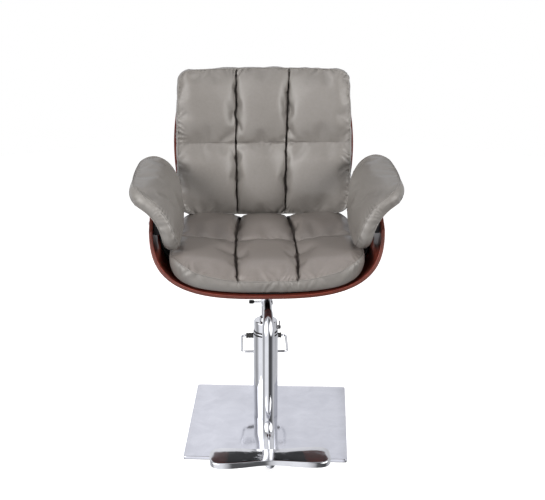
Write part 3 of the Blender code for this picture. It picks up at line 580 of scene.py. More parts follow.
def squircle(s, t, amount, corner=0.0):
    """The square -1..1 with bowed sides and corners of the given radius."""
    across, along = abs(s) - 1 + corner, abs(t) - 1 + corner
    if across > 0 and along > 0:
        p, q = across / corner, along / corner
        s = math.copysign(1 - corner + across * math.sqrt(1 - q * q / 2), s)
        t = math.copysign(1 - corner + along * math.sqrt(1 - p * p / 2), t)
    return s * math.sqrt(1 - amount * t * t / 2), t * math.sqrt(1 - amount * s * s / 2)


def shell_volume(low, high, reach=SECTION_LENGTH, inset=0.0, extra_sweep=0.0):
    """Points in the seat shell or its liner by (s, t) in -1..1 and level in 0..1."""

    def point(s, t, level, k):
        u, v = squircle(s, t, SHELL_ROUND)
        length = u * k * reach
        sweep = TIP_SWEEP * abs(length / SECTION_LENGTH) ** 2.5
        front = -SHELL_FRONT + sweep + inset + extra_sweep * (length / SECTION_LENGTH) ** 2
        rear = SHELL_REAR - 0.8 * sweep - inset
        return shell_point(length, blend(front, rear, (v * k + 1) / 2), blend(low, high, level))

    return point


def back_shell_volume(s, t, level, k):
    u, v = squircle(s, t, BACK_SHELL_ROUND)
    height = BACK_HEIGHT * (v * k + 1) / 2
    return back_point(u * k * BACK_HALF, height, blend(-PLY / 2, PLY / 2, level))


def even(count):
    return [2 * k / count - 1 for k in range(count + 1)]


SLIT = (0.0030, 0.0065, 0.0120)


def panels(edges, counts, gather=0.75):
    """Grid lines from -1 to 1 that crowd towards the sewn lines, and which of them are sewn."""
    lines, sewn = [edges[0]], []
    for (low, high), count in zip(zip(edges, edges[1:]), counts):
        first, last, beside = low, high, []
        if low > -1.0:
            lines += [low + offset for offset in SLIT]
            first = low + SLIT[-1]
        if high < 1.0:
            beside = [high - offset for offset in reversed(SLIT[:-1])]
            last = high - SLIT[-1]
        for k in range(1, count + 1):
            share = k / count
            crowded = (1 - math.cos(math.pi * share)) / 2
            lines.append(blend(first, last, blend(share, crowded, gather)))
        if beside:
            lines += beside + [high]
            sewn.append(len(lines) - 1)
    return lines, sewn


def slit_share(s, left, right):
    """1 in a channel, falling to 0 a few millimetres beside it."""
    return max(0.0, 1 - min(abs(s - left), abs(s - right)) / SLIT[-1])


def closed_grid(name, point, us, vs, wall, materials, bands=(1,)):
    """A closed solid from a volume function, with the vertices of its parts.

    `wall` lists (level, k): k scales the outline, so the wall can bulge or be rounded. `bands` holds
    the material of each step of the wall, or one for all of them.
    """
    bm = bmesh.new()

    def layer(level, k):
        return [[bm.verts.new(point(s, t, level, k)) for t in vs] for s in us]

    below, above = layer(0.0, wall[0][1]), layer(1.0, wall[-1][1])
    last_u, last_v = len(us) - 1, len(vs) - 1
    for grid in (below, above):
        for i in range(last_u):
            for j in range(last_v):
                bm.faces.new((grid[i][j], grid[i + 1][j], grid[i + 1][j + 1], grid[i][j + 1]))
    rim = [(i, 0) for i in range(last_u)]
    rim += [(last_u, j) for j in range(last_v)]
    rim += [(i, last_v) for i in range(last_u, 0, -1)]
    rim += [(0, j) for j in range(last_v, 0, -1)]
    rows = [[below[i][j] for i, j in rim]]
    for level, k in wall[1:-1]:
        rows.append([bm.verts.new(point(us[i], vs[j], level, k)) for i, j in rim])
    rows.append([above[i][j] for i, j in rim])
    for n, (lower, upper) in enumerate(zip(rows, rows[1:])):
        join_rings(bm, [lower, upper], material=bands[n % len(bands)])
    bm.verts.index_update()
    parts = {"below": [[v.index for v in row] for row in below],
        "above": [[v.index for v in row] for row in above],
        "rows": [[v.index for v in row] for row in rows], "rim": rim}
    return object_from(name, bm, materials), parts


# ---------------------------------------------------------------- soft goods


CLOTH_FRAMES = 18
CLOTH_STIFFNESS = 18.0


def inflate(obj, pins, pressure, grow, cap):
    """Swells a pad by cloth simulation with its seams held, and leaves the result in its mesh.

    `grow` is how much larger the leather is cut than its frame, which gathers it at the seams, and
    `cap` is the farthest that a point may move.
    """
    start = [v.co.copy() for v in obj.data.vertices]
    group = obj.vertex_groups.new(name="seams")
    for index, weight in pins.items():
        group.add([index], weight, "REPLACE")
    modifier = obj.modifiers.new("swell", "CLOTH")
    cloth = modifier.settings
    cloth.quality = 5
    cloth.mass = 0.3
    cloth.tension_stiffness = CLOTH_STIFFNESS
    cloth.compression_stiffness = CLOTH_STIFFNESS
    cloth.shear_stiffness = CLOTH_STIFFNESS * 0.4
    cloth.bending_stiffness = 0.6
    cloth.vertex_group_mass = "seams"
    cloth.shrink_min = -grow
    cloth.use_pressure = True
    cloth.uniform_pressure_force = pressure
    cloth.effector_weights.gravity = 0
    modifier.collision_settings.use_collision = False
    for number in range(1, CLOTH_FRAMES + 1):
        SCENE.frame_set(number)
    swollen = obj.evaluated_get(bpy.context.evaluated_depsgraph_get()).to_mesh()
    ends = [v.co.copy() for v in swollen.vertices]
    obj.modifiers.remove(modifier)
    obj.vertex_groups.remove(group)
    SCENE.frame_set(1)
    for vertex, first, last in zip(obj.data.vertices, start, ends):
        step = last - first
        if step.length > cap:
            step *= cap / step.length
        vertex.co = first + step


def relax(obj, held):
    """Evens out a simulated mesh, apart from the vertices that are held."""
    bm = bmesh.new()
    bm.from_mesh(obj.data)
    bm.verts.ensure_lookup_table()
    free = [v for v in bm.verts if v.index not in held]
    for _ in range(2):
        bmesh.ops.smooth_vert(bm, verts=free, factor=0.4, use_axis_x=True, use_axis_y=True, use_axis_z=True)
    bm.to_mesh(obj.data)
    bm.free()


def beside_seams(parts, channels):
    """Vertices in the sewn channels and next to them."""
    reach = len(SLIT)
    near = {i for c in channels for i in range(c - reach, c + reach + 1)}
    return {index for i in near for index in parts["above"][i]}


COLUMN_GAP = 0.0005


def part_columns(obj, parts, channels):
    """Keeps each puffed column on its own side of the sewn channels, so neighbours only touch."""
    vertices = obj.data.vertices
    above = parts["above"]
    last = len(above) - 1
    for j in range(1, len(above[0]) - 1):
        for i, column in enumerate(above):
            if i in channels:
                continue
            co = vertices[column[j]].co
            left = max([c for c in channels if c < i], default=None)
            right = min([c for c in channels if c > i], default=None)
            if left is not None and i > 0:
                co.x = max(co.x, vertices[above[left][j]].co.x + COLUMN_GAP)
            if right is not None and i < last:
                co.x = min(co.x, vertices[above[right][j]].co.x - COLUMN_GAP)


def refine(obj):
    """Subdivides the mesh once, for good."""
    modifier = obj.modifiers.new("finer", "SUBSURF")
    modifier.levels = 1
    bpy.context.view_layer.update()
    graph = bpy.context.evaluated_depsgraph_get()
    finer = bpy.data.meshes.new_from_object(obj.evaluated_get(graph))
    obj.modifiers.remove(modifier)
    obj.data = finer


def seam_points(obj, indices):
    return [obj.data.vertices[i].co.copy() for i in indices]


FOLD_LENGTH = 0.016


def pucker(obj, seams):
    """Small folds square to the seams, deepest beside the thread, as tight sewing pulls them.

    Each seam is (points, closed, how far its folds reach, their depth).
    """
    step = 0.002
    vertices = obj.data.vertices
    moves = [0.0] * len(vertices)
    for number, (points, closed, reach, depth) in enumerate(seams):
        path = resample(points, step, closed)
        tree = KDTree(len(path))
        for k, point in enumerate(path):
            tree.insert(point, k)
        tree.balance()
        for k, vertex in enumerate(vertices):
            _, place, distance = tree.find(vertex.co)
            if distance > reach:
                continue
            along = place * step + distance * 0.7 * math.sin(place * 0.11 + number)
            bend = 2.2 * math.sin(along * 61 + number) + 1.6 * math.sin(along * 23 + 2 * number)
            fold = math.sin(2 * math.pi * along / FOLD_LENGTH + bend)
            size = 0.30 + 0.70 * math.sin(along * 37 + 3 * number) * math.sin(along * 17 + number)
            near = min(distance / 0.003, 1.0) * (1 - distance / reach) ** 1.4
            moves[k] += depth * fold * max(size, 0.08) * near
    for vertex, normal, move in zip(vertices, [v.normal.copy() for v in vertices], moves):
        vertex.co += normal * move


def surface_tree(obj):
    mesh = obj.data
    points = [v.co.copy() for v in mesh.vertices]
    return BVHTree.FromPolygons(points, [tuple(p.vertices) for p in mesh.polygons])


def smooth_loop(points, rounds=2):
    for _ in range(rounds):
        count = len(points)
        points = [(points[k - 1] + 2 * points[k] + points[(k + 1) % count]) / 4 for k in range(count)]
    return points


def resample(points, spacing, closed=True):
    """Points an even distance apart along a polyline."""
    if closed:
        points = points + points[:1]
    lengths = [0.0]
    for a, b in zip(points, points[1:]):
        lengths.append(lengths[-1] + (b - a).length)
    count = max(3, round(lengths[-1] / spacing))
    result = []
    k = 0
    for n in range(count if closed else count + 1):
        wanted = lengths[-1] * n / count
        while k < len(points) - 2 and lengths[k + 1] < wanted:
            k += 1
        share = (wanted - lengths[k]) / max(lengths[k + 1] - lengths[k], TINY)
        result.append(points[k].lerp(points[k + 1], share))
    return result


def welt(name, points, radius):
    """A thin sewn ridge along a closed seam, in the pad's own leather."""
    path = resample(smooth_loop(points), 0.005)
    count = len(path)
    bm = bmesh.new()
    rings = []
    across = Vector((0, 0, 1))
    for k, centre in enumerate(path):
        along = (path[(k + 1) % count] - path[k - 1]).normalized()
        across = (across - along * across.dot(along)).normalized()
        up = along.cross(across)
        ring = []
        for j in range(8):
            angle = 2 * math.pi * j / 8
            ring.append(bm.verts.new(centre + radius * (math.cos(angle) * across + math.sin(angle) * up)))
        rings.append(ring)
    turn = best_turn([v.co for v in rings[-1]], [v.co for v in rings[0]])
    join_rings(bm, rings)
    first = rings[0][turn:] + rings[0][:turn]
    join_rings(bm, [rings[-1], first])
    return object_from(name, bm, ["leather_band"], crease=80.0)


def best_turn(ring, other):
    """How far the second ring must be turned for its points to face those of the first."""
    count = len(ring)
    return min(range(count),
        key=lambda shift: sum((ring[k] - other[(k + shift) % count]).length for k in range(count)))


# Along a stitch: how far along it, how high in radii, and how thick
STITCH_RINGS = ((0.0, -0.5, 0.6), (0.15, 0.5, 1.0), (0.5, 0.9, 1.1), (0.85, 0.5, 1.0), (1.0, -0.5, 0.6))
STITCH_STEP = 0.002


def stitches(name, points, tree, length=0.0042, gap=0.0016, radius=0.00045):
    """A closed row of separate stitches that lie on the pad's surface."""
    path = resample(smooth_loop(points, 1), STITCH_STEP)
    snapped = []
    for point in path:
        place, normal, _, _ = tree.find_nearest(point)
        snapped.append((place, normal))
    pitch = length + gap
    per = pitch / STITCH_STEP
    bm = bmesh.new()
    for n in range(int(len(snapped) / per)):
        first = snapped[int(n * per)]
        last = snapped[min(int(n * per + length / STITCH_STEP), len(snapped) - 1)]
        run = last[0] - first[0]
        if run.length < length * 0.4:
            continue
        normal = (first[1] + last[1]).normalized()
        side = run.cross(normal).normalized()
        rings = []
        for share, lift, size in STITCH_RINGS:
            centre = first[0] + run * share + normal * (lift * radius)
            turn = [math.pi * k / 3 for k in range(6)]
            spokes = [size * radius * (math.cos(a) * side + math.sin(a) * normal) for a in turn]
            rings.append([bm.verts.new(centre + spoke) for spoke in spokes])
        join_rings(bm, rings)
        bm.faces.new(rings[0][::-1])
        bm.faces.new(rings[-1])
    return object_from(name, bm, ["thread"], crease=80.0)


# Seat cushion: where its channels and cross seam lie, and how deep they are
SEAT_BED = PLY / 2 + LINER_GAP + LINER + BED_GAP
SEAT_REACH = next(length for length, x, _ in SECTION if x >= CUSHION_HALF)
SEAT_CHANNEL = (-0.305, 0.300)
SEAT_CHANNEL_DEPTH = 0.013
SLIT_DEPTH = 0.016
SEAT_CROSS = 0.10
SEAT_CROSS_DEPTH = 0.007


def column_shape(u, left, right):
    """How far down the surface lies between two channels: 0 on a column's crown, 1 in a channel."""
    if u < left:
        a = max(0.0, (u - blend(-1.0, left, 0.45)) / (left - blend(-1.0, left, 0.45)))
    elif u > right:
        a = max(0.0, (blend(1.0, right, 0.45) - u) / (blend(1.0, right, 0.45) - right))
    else:
        a = abs((u - (left + right) / 2) / ((right - left) / 2))
    return 1 - math.sqrt(max(0.0, 1 - min(a, 1.0) ** 2.3))


def row_shape(v, seam, width):
    """How far down the surface lies beside a cross seam: 1 in it, 0 at `width` from it."""
    a = max(0.0, 1 - abs(v - seam) / width)
    return 1 - math.sqrt(max(0.0, 1 - a**2.2))


def seat_cushion_volume(s, t, level, k):
    u, v = squircle(s, t, CUSHION_ROUND, CUSHION_CORNER)
    u, v = u * k, v * k
    y = blend(-CUSHION_FRONT, CUSHION_REAR, (v + 1) / 2)
    taper = 1 - CUSHION_TAPER * ((v + 1) / 2) ** 2
    point = shell_point(u * taper * SEAT_REACH, y, SEAT_BED)
    wall = blend(BOXING, REAR_BOXING, ((v + 1) / 2) ** 2)
    inner_u, inner_v = min(abs(u), 1.0), min(abs(v), 1.0)
    room = (1 - inner_u**6) * (1 - inner_v**6)
    fade = math.sqrt(1 - inner_v**6)
    drop = SEAT_CHANNEL_DEPTH * column_shape(s, *SEAT_CHANNEL) * fade
    drop += SLIT_DEPTH * slit_share(s, *SEAT_CHANNEL) * fade
    drop += SEAT_CROSS_DEPTH * row_shape(t, SEAT_CROSS, 0.42) * math.sqrt(max(room, 0.0))
    point.z += level * (wall + SEAT_CROWN * room - drop)
    return point


def sewn_cushion(word, volume, leather, lines, wall, held, folds, inset):
    """A cushion of puffed columns between sewn lines, with the points of its seams and its stitches.

    `lines` holds the two panels() results, `held` the wall rows that stay put in the simulation, and
    `folds` the (reach, depth) of the edge's folds and of the sewn lines' folds.
    """
    (us, channels), (vs, (cross,)) = lines
    name = word + "_cushion"
    obj, parts = closed_grid(name + "_leather", volume, us, vs, wall, [leather, "leather_band"])
    above = parts["above"]
    sewn = [above[c] for c in channels] + [[column[cross] for column in above]]
    still = parts["below"] + [parts["rows"][row] for row in held] + sewn
    pins = {index: 1.0 for row in still for index in row}
    inflate(obj, pins, 3.4, 0.05, 0.012)
    relax(obj, set(pins) | beside_seams(parts, channels))
    part_columns(obj, parts, channels)
    edges = {row: seam_points(obj, parts["rows"][row]) for row in (-1, 0)}
    sewn = [seam_points(obj, indices) for indices in sewn]
    refine(obj)
    pucker(obj, [(edges[-1], True, *folds[0])] + [(line, False, *folds[1]) for line in sewn])
    belong(obj, "seat", "leather", name)
    inner = [volume(us[i], vs[j], 1.0, inset) for i, j in parts["rim"]]
    return edges, inner, surface_tree(obj)


def build_seat_cushion():
    lines = panels((-1.0, *SEAT_CHANNEL, 1.0), (26, 28, 26)), panels((-1.0, SEAT_CROSS, 1.0), (36, 28), 0.45)
    wall = [(0.0, 0.985), (0.12, 0.998), (0.35, 1.010), (0.65, 1.013), (0.88, 1.006), (1.0, 1.0)]
    folds = ((0.045, 0.0028), (0.022, 0.0015))
    edges, inner, tree = sewn_cushion("seat", seat_cushion_volume, "leather_seat", lines, wall,
        (0, 1, -1), folds, 0.976)
    belong(welt("seat_cushion_welt", edges[-1], 0.0015), "seat", "leather")
    belong(stitches("seat_cushion_stitching", inner, tree), "seat", "leather")


BACK_BED = PLY / 2 + BED_GAP
BACK_CHANNEL_DEPTH = 0.013
BACK_CROSS = -0.01
BACK_CROSS_DEPTH = 0.0110
BACK_LEFT = -0.325


def back_right_channel(v):
    """The right channel leans in from the top to the cross seam, and runs straight below it."""
    return blend(0.258, 0.312, max(0.0, (v - BACK_CROSS) / (1 - BACK_CROSS)))


def back_cushion_volume(s, t, level, k):
    right = back_right_channel(t)
    if s < BACK_LEFT:
        raw = s
    elif s < -BACK_LEFT:
        raw = blend(BACK_LEFT, right, (s - BACK_LEFT) / (-2 * BACK_LEFT))
    else:
        raw = blend(right, 1.0, (s + BACK_LEFT) / (1 + BACK_LEFT))
    u, v = squircle(raw, t, BACK_CUSHION_ROUND, BACK_CORNER)
    u, v = u * k, v * k
    height = blend(*BACK_CUSHION_H, (v + 1) / 2)
    inner_u, inner_v = min(abs(u), 1.0), min(abs(v), 1.0)
    room = (1 - inner_u**4) * (1 - inner_v**4)
    fade = math.sqrt(1 - inner_v**8)
    drop = BACK_CHANNEL_DEPTH * column_shape(s, BACK_LEFT, -BACK_LEFT) * fade
    drop += SLIT_DEPTH * slit_share(s, BACK_LEFT, -BACK_LEFT) * fade
    drop += BACK_CROSS_DEPTH * row_shape(t, BACK_CROSS, 0.36) * math.sqrt(max(room, 0.0))
    offset = BACK_BED + level * (BACK_BOXING + BACK_CROWN * room - drop)
    return back_point(u * BACK_CUSHION_HALF, height, offset)


def build_back_cushion():
    channels = panels((-1.0, BACK_LEFT, -BACK_LEFT, 1.0), (26, 28, 26))
    lines = channels, panels((-1.0, BACK_CROSS, 1.0), (32, 32), 0.45)
    wall = [(0.0, 0.980), (0.10, 0.996), (0.3, 1.008), (0.55, 1.012), (0.8, 1.009), (1.0, 1.0)]
    folds = ((0.040, 0.0030), (0.024, 0.0016))
    edges, inner, tree = sewn_cushion("back", back_cushion_volume, "leather", lines, wall, (0, -1),
        folds, 0.978)
    belong(welt("back_cushion_welt_front", edges[-1], 0.0015), "seat", "leather")
    belong(stitches("back_cushion_stitching", inner, tree), "seat", "leather")
    belong(welt("back_cushion_welt_rear", edges[0], 0.0015), "seat", "leather")


def bezier(controls, t):
    weights = ((1 - t) ** 3, 3 * t * (1 - t) ** 2, 3 * t * t * (1 - t), t**3)
    return [sum(w * c[axis] for w, c in zip(weights, controls)) for axis in (0, 1)]


def arm_volume(hand):
    """Points in an arm pad, from its bottom edge in the shell to its outer lip."""

    def point(s, t, level, k):
        u, v = squircle(s, t, ARM_ROUND, ARM_CORNER)
        u, v = u * k, v * k
        along, up = (u + 1) / 2, (v + 1) / 2
        controls = [(blend(f[0], r[0], along), blend(f[1], r[1], along)) for f, r in zip(ARM_FRONT,
            ARM_REAR)]
        x, z = bezier(controls, up)
        low = bezier(controls, max(up - 0.02, 0.0))
        high = bezier(controls, min(up + 0.02, 1.0))
        run = math.hypot(high[0] - low[0], high[1] - low[1])
        swell = (1 - min(abs(u), 1.0) ** 4) * (1 - min(abs(v), 1.0) ** 4)
        half = blend(ARM_EDGE_T, ARM_MID_T, swell)
        side = 2 * level - 1
        x += side * half * (high[1] - low[1]) / run
        z -= side * half * (high[0] - low[0]) / run
        front = blend(ARM_Y_BOTTOM[0], ARM_Y_LIP[0], up)
        rear = blend(ARM_Y_BOTTOM[1], ARM_Y_LIP[1], math.sin(min(max(up, 0.0), 1.0) * math.pi / 2))
        return Vector((hand * x, blend(front, rear, along), z))

    return point


def build_arm(word, hand):
    point = arm_volume(hand)
    us, vs = even(36), even(42)
    wall = [(0.0, 1.0), (0.16, 1.030), (0.38, 1.052), (0.62, 1.052), (0.84, 1.030), (1.0, 1.0)]
    obj, parts = closed_grid("arm_leather_" + word, point, us, vs, wall, ["leather_arm", "leather_band"])
    pins = {index: 1.0 for index in parts["rows"][0] + parts["rows"][-1]}
    inflate(obj, pins, 2.0, 0.02, 0.005)
    relax(obj, set(pins))
    edges = {row: seam_points(obj, parts["rows"][row]) for row in (-1, 0)}
    refine(obj)
    pucker(obj, [(edge, True, 0.032, 0.0020) for edge in edges.values()])
    belong(obj, "seat", "leather", "arm_pad_" + word)
    tree = surface_tree(obj)
    for side, row, level in (("inner", 0, 0.0), ("outer", -1, 1.0)):
        edge = edges[row]
        belong(welt("arm_welt_%s_%s" % (word, side), edge, 0.0013), "seat", "leather")
        inner = [point(us[i], vs[j], level, 0.955) for i, j in parts["rim"]]
        name = "arm_stitching_%s_%s" % (word, side)
        belong(stitches(name, inner, tree), "seat", "leather")


# ---------------------------------------------------------------- shells


def ply_wall(inset):
    """Wall rows of a plywood edge: five plies, with the outer corners rounded."""
    rows = [(0.0, 1 - inset), (0.06, 1 - inset * 0.35), (0.20, 1.0), (0.40, 1.0), (0.60, 1.0), (0.80, 1.0)]
    return rows + [(0.94, 1 - inset * 0.35), (1.0, 1 - inset)]


# Material of each wall row: 0 is the veneer, then dark and light plies in turn
PLY_BANDS = (0, 0, 1, 2, 1, 0, 0)


def build_shells():
    half = PLY / 2
    obj, _ = closed_grid("seat_shell_veneer", shell_volume(-half, half), even(128), even(56),
        ply_wall(0.0045), ["wood", "ply_dark", "ply_light"], PLY_BANDS)
    belong(obj, "seat", "wood", "seat_shell")
    obj, _ = closed_grid("back_shell_veneer", back_shell_volume, even(72), even(60), ply_wall(0.006),
        ["wood_back", "ply_dark", "ply_light"], PLY_BANDS)
    belong(obj, "seat", "wood", "back_shell")
    # The black liner is partly painted shade: besides lining the shell, it fills the shaded gap between the
    # shell and the cushion with black.
    reach = next(length for length, _, z in SECTION if z >= LINER_RISE)
    low = half + LINER_GAP
    obj, _ = closed_grid("seat_liner_felt", shell_volume(low, low + LINER, reach, LINER_INSET,
        LINER_SWEEP), even(96), even(40), [(0.0, 0.997), (0.3, 1.0), (0.7, 1.0), (1.0, 0.997)],
        ["felt"], (0,))
    belong(obj, "seat", "black_plastic", "seat_liner")


# ---------------------------------------------------------------- base and pump


def square_outline(half, radius, count):
    """Points of a rounded square, at even angles about its centre."""
    points = []
    for k in range(count):
        angle = 2 * math.pi * (k + 0.5) / count
        dx, dy = math.cos(angle), math.sin(angle)
        reach = half / max(abs(dx), abs(dy))
        x, y = dx * reach, dy * reach
        over_x, over_y = abs(x) - (half - radius), abs(y) - (half - radius)
        if over_x > 0 and over_y > 0:
            scale = radius / math.hypot(over_x, over_y)
            x = math.copysign(half - radius + over_x * scale, x)
            y = math.copysign(half - radius + over_y * scale, y)
        points.append((x, y))
    return points


def build_base():
    """The polished sheet over the plate, turned and set forward as the CAD plate is."""
    low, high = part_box("base_cover")
    half, top = BASE_HALF, high.z
    skin = 0.002
    fold = 0.0028
    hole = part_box("pump_shroud")[1].x - 0.0015
    count = 480
    place = Matrix.Translation((*BASE_CENTRE, 0)) @ Matrix.Rotation(BASE_TURN, 4, "Z")
    column = place.inverted() @ Vector((0, 0, 0))
    bm = bmesh.new()

    def ring(size, radius, z):
        return [bm.verts.new((x, y, z)) for x, y in square_outline(size, radius, count)]

    def on_circle(k):
        angle = 2 * math.pi * (k + 0.5) / count
        return column.x + hole * math.cos(angle), column.y + hole * math.sin(angle)

    def circle(z):
        return [bm.verts.new((*on_circle(k), z)) for k in range(count)]

    rings = [ring(half - skin, 0.004, low.z), ring(half - 0.0005, 0.0055, low.z)]
    rings.append(ring(half, 0.006, low.z + 0.0006))
    for k in range(6):
        angle = math.pi / 2 * k / 5
        inset = fold * (1 - math.cos(angle))
        rings.append(ring(half - inset, 0.006, top - fold * (1 - math.sin(angle))))
    outer = square_outline(half - fold, 0.006, count)
    for share in (0.12, 0.3, 0.5, 0.7, 0.85, 0.95):
        row = []
        for k, (x, y) in enumerate(outer):
            hole_x, hole_y = on_circle(k)
            row.append(bm.verts.new((blend(x, hole_x, share), blend(y, hole_y, share), top)))
        rings.append(row)
    rings += [circle(top), circle(top - skin), ring(half - skin, 0.004, top - skin)]
    join_rings(bm, rings, closed=True)
    bmesh.ops.transform(bm, matrix=place, verts=bm.verts)
    cover = object_from("base_cover_sheet", bm, ["sheet"])
    belong(cover, "base", "mirror_steel", "base_cover")


NECK_R = 0.0325


def column_ring(name, node, material, edge):
    """A ring on the pump's column, which fills its CAD node's box down to the neck of the head."""
    low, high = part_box(node)
    profile = ((NECK_R, low.z), (high.x, low.z), (high.x, high.z), (NECK_R, high.z))
    spun(name, profile, material, ("base", material, node), sides=96, edge=edge)


def build_pump():
    low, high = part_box("pump_shroud")
    wall = 0.0025
    tube = turned("pump_tube", ((high.x - wall, low.z), (high.x, low.z), (high.x, high.z),
        (high.x - wall, high.z)), "chrome", sides=128, edge=0.0004)
    window = bmesh.new()
    bmesh.ops.create_cube(window, size=1.0)
    place = Matrix.Translation((0, 0.0375, 0.0875)) @ Matrix.Diagonal((0.0274, 0.025, 0.058, 1))
    bmesh.ops.transform(window, matrix=place, verts=window.verts)
    carve(tube, object_from("window_cutter", window, ["plastic"]))
    belong(tube, "base", "chrome", "pump_shroud")
    column_ring("tube_seal", "shroud_seal", "rubber", 0.0012)
    column_ring("tube_lip", "shroud_lip", "chrome", 0.0011)
    column_ring("neck_seal", "head_seal", "rubber", 0.0010)
    low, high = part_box("pump_head")
    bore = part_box("piston_rod")[1].x + 0.0003
    neck, neck_top = NECK_R - 0.0003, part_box("head_seal")[1].z + 0.0003
    rim = high.x
    shoulder = high.z - 0.010
    spun("pump_head_casting", ((bore, low.z), (neck, low.z), (neck, neck_top), (rim, neck_top),
        (rim, shoulder - 0.0035), (rim - 0.0008, shoulder - 0.0012), (rim - 0.0035, shoulder),
        (0.0190, shoulder + 0.0004), (0.0178, high.z), (0.0155, high.z), (0.0155, high.z - 0.004),
        (bore, high.z - 0.004)), "chrome", ("base", "chrome", "pump_head"), sides=128, edge=0.0009)
    low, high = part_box("rod_wiper")
    spun("rod_wiper_lip", ((bore, low.z), (high.x, low.z), (high.x, high.z - 0.002),
        (bore + 0.0006, high.z), (bore, high.z)), "rubber", ("base", "rubber", "rod_wiper"), sides=96,
        edge=0.0004)
    low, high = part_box("piston_rod")
    shoulder, foot = 0.400, 0.0755
    pin, spigot = 0.008, 0.010
    spun("ram_rod", ((0, low.z), (pin, low.z), (pin, foot), (high.x, foot), (high.x, shoulder),
        (spigot, shoulder), (spigot, high.z), (0, high.z)), "chrome", ("ram", "chrome", "piston_rod"),
        sides=96, edge=0.0007)
    dressed("pressure_block", "pump_block", "steel", "base", "steel", 0.0009)
    dressed("pivot_pin", "pedal_pin", "steel", "base", "steel")
    dressed("lock_pivot", "lock_stud", "steel", "base", "steel", 0.0005)
    dressed("lock_handle", "lock_lever", "paint", "lock", "black_paint", 0.0007)


def carve(target, cutter):
    """Takes the cutter out of the target's mesh for good."""
    modifier = target.modifiers.new("carve", "BOOLEAN")
    modifier.operation = "DIFFERENCE"
    modifier.solver = "EXACT"
    modifier.object = cutter
    bpy.context.view_layer.update()
    result = bpy.data.meshes.new_from_object(
        target.evaluated_get(bpy.context.evaluated_depsgraph_get())
    )
    target.modifiers.remove(modifier)
    target.data = result
    result.shade_smooth()
    result.set_sharp_from_angle(angle=math.radians(38))
    bpy.data.objects.remove(cutter, do_unlink=True)


# ---------------------------------------------------------------- pedal


def build_pedal():
    low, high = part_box("pedal_loop")
    thick = (high.z - low.z) / 2
    z = (high.z + low.z) / 2
    corners = ((low.x + thick, low.y + thick, z), (high.x - thick, low.y + thick, z),
        (high.x - thick, high.y - thick, z), (low.x + thick, high.y - thick, z))
    path = rounded_path(corners, 0.012, 14, closed=True)
    bm = bmesh.new()
    rings = tube_rings(bm, path, [thick] * len(path), Vector((0, 0, 1)), 28, closed=True)
    join_rings(bm, rings, closed=True)
    belong(object_from("pedal_bar", bm, ["chrome"]), "pedal", "chrome", "pedal_loop")
    low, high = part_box("pedal_sleeve")
    centre = (low + high) / 2
    outer, half = (high.z - low.z) / 2, (high.x - low.x) / 2
    bore = thick + 0.0003
    profile = [(bore, -half), (outer, -half), (outer, -half + 0.004), (outer - 0.0012, -half + 0.005)]
    grooves = 12
    for k in range(grooves):
        place = blend(-half + 0.008, half - 0.008, (k + 0.5) / grooves)
        profile += [(outer - 0.0008, place - 0.0026), (outer - 0.0001, place - 0.0016),
            (outer - 0.0001, place + 0.0016), (outer - 0.0008, place + 0.0026)]
    profile += [(outer - 0.0012, half - 0.005), (outer, half - 0.004), (outer, half), (bore, half)]
    owner = ("pedal", "rubber", "pedal_sleeve")
    spun("pedal_grip", profile, "rubber", owner, at=centre, along=(1, 0, 0), sides=48, edge=0.0005)
    dressed("pedal_arm", "pedal_lever", "chrome", "pedal", "chrome", 0.0010)


# ---------------------------------------------------------------- frame under the seat


HIDDEN_SHANK_R = 0.003


def seat_bolt(name, node, along, dome=False):
    """A bolt in the place of its CAD node: a hexagon head on a washer, or a domed socket head."""
    low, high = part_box(node)
    centre, size = (low + high) / 2, high - low
    along = Vector(along)
    axis = max(range(3), key=lambda n: abs(along[n]))
    wide = max(size[n] for n in range(3) if n != axis) / 2
    tall = size[axis]
    shank = HIDDEN_SHANK_R
    if dome:
        profile = [(0, 0.0022), (0.0024, 0.0022), (0.0027, 0.0003), (0.0036, 0.0), (0.0052, 0.0007)]
        profile += [(wide, 0.0022), (wide, 0.003), (shank, 0.003), (shank, tall), (0, tall)]
    else:
        profile = [(0, 0.0), (wide * 0.80, 0.0), (wide * 0.87, 0.0004), (wide * 0.87, 0.0031)]
        profile += [(wide, 0.0031), (wide, 0.004), (shank, 0.004), (shank, tall), (0, tall)]
    flats = (1, 2) if dome else (2, 3)

    def hexed(n, radius, angle):
        if n not in flats:
            return radius
        fold = (angle + math.pi / 6) % (math.pi / 3) - math.pi / 6
        return radius * math.cos(math.pi / 6) / math.cos(fold) * 1.12

    bm = bmesh.new()
    join_rings(bm, turned_rings(bm, profile, 24, hexed))
    stood(bm, centre - along * (tall / 2), along)
    belong(object_from(name, bm, ["steel"], crease=28.0), "seat", "steel", node)


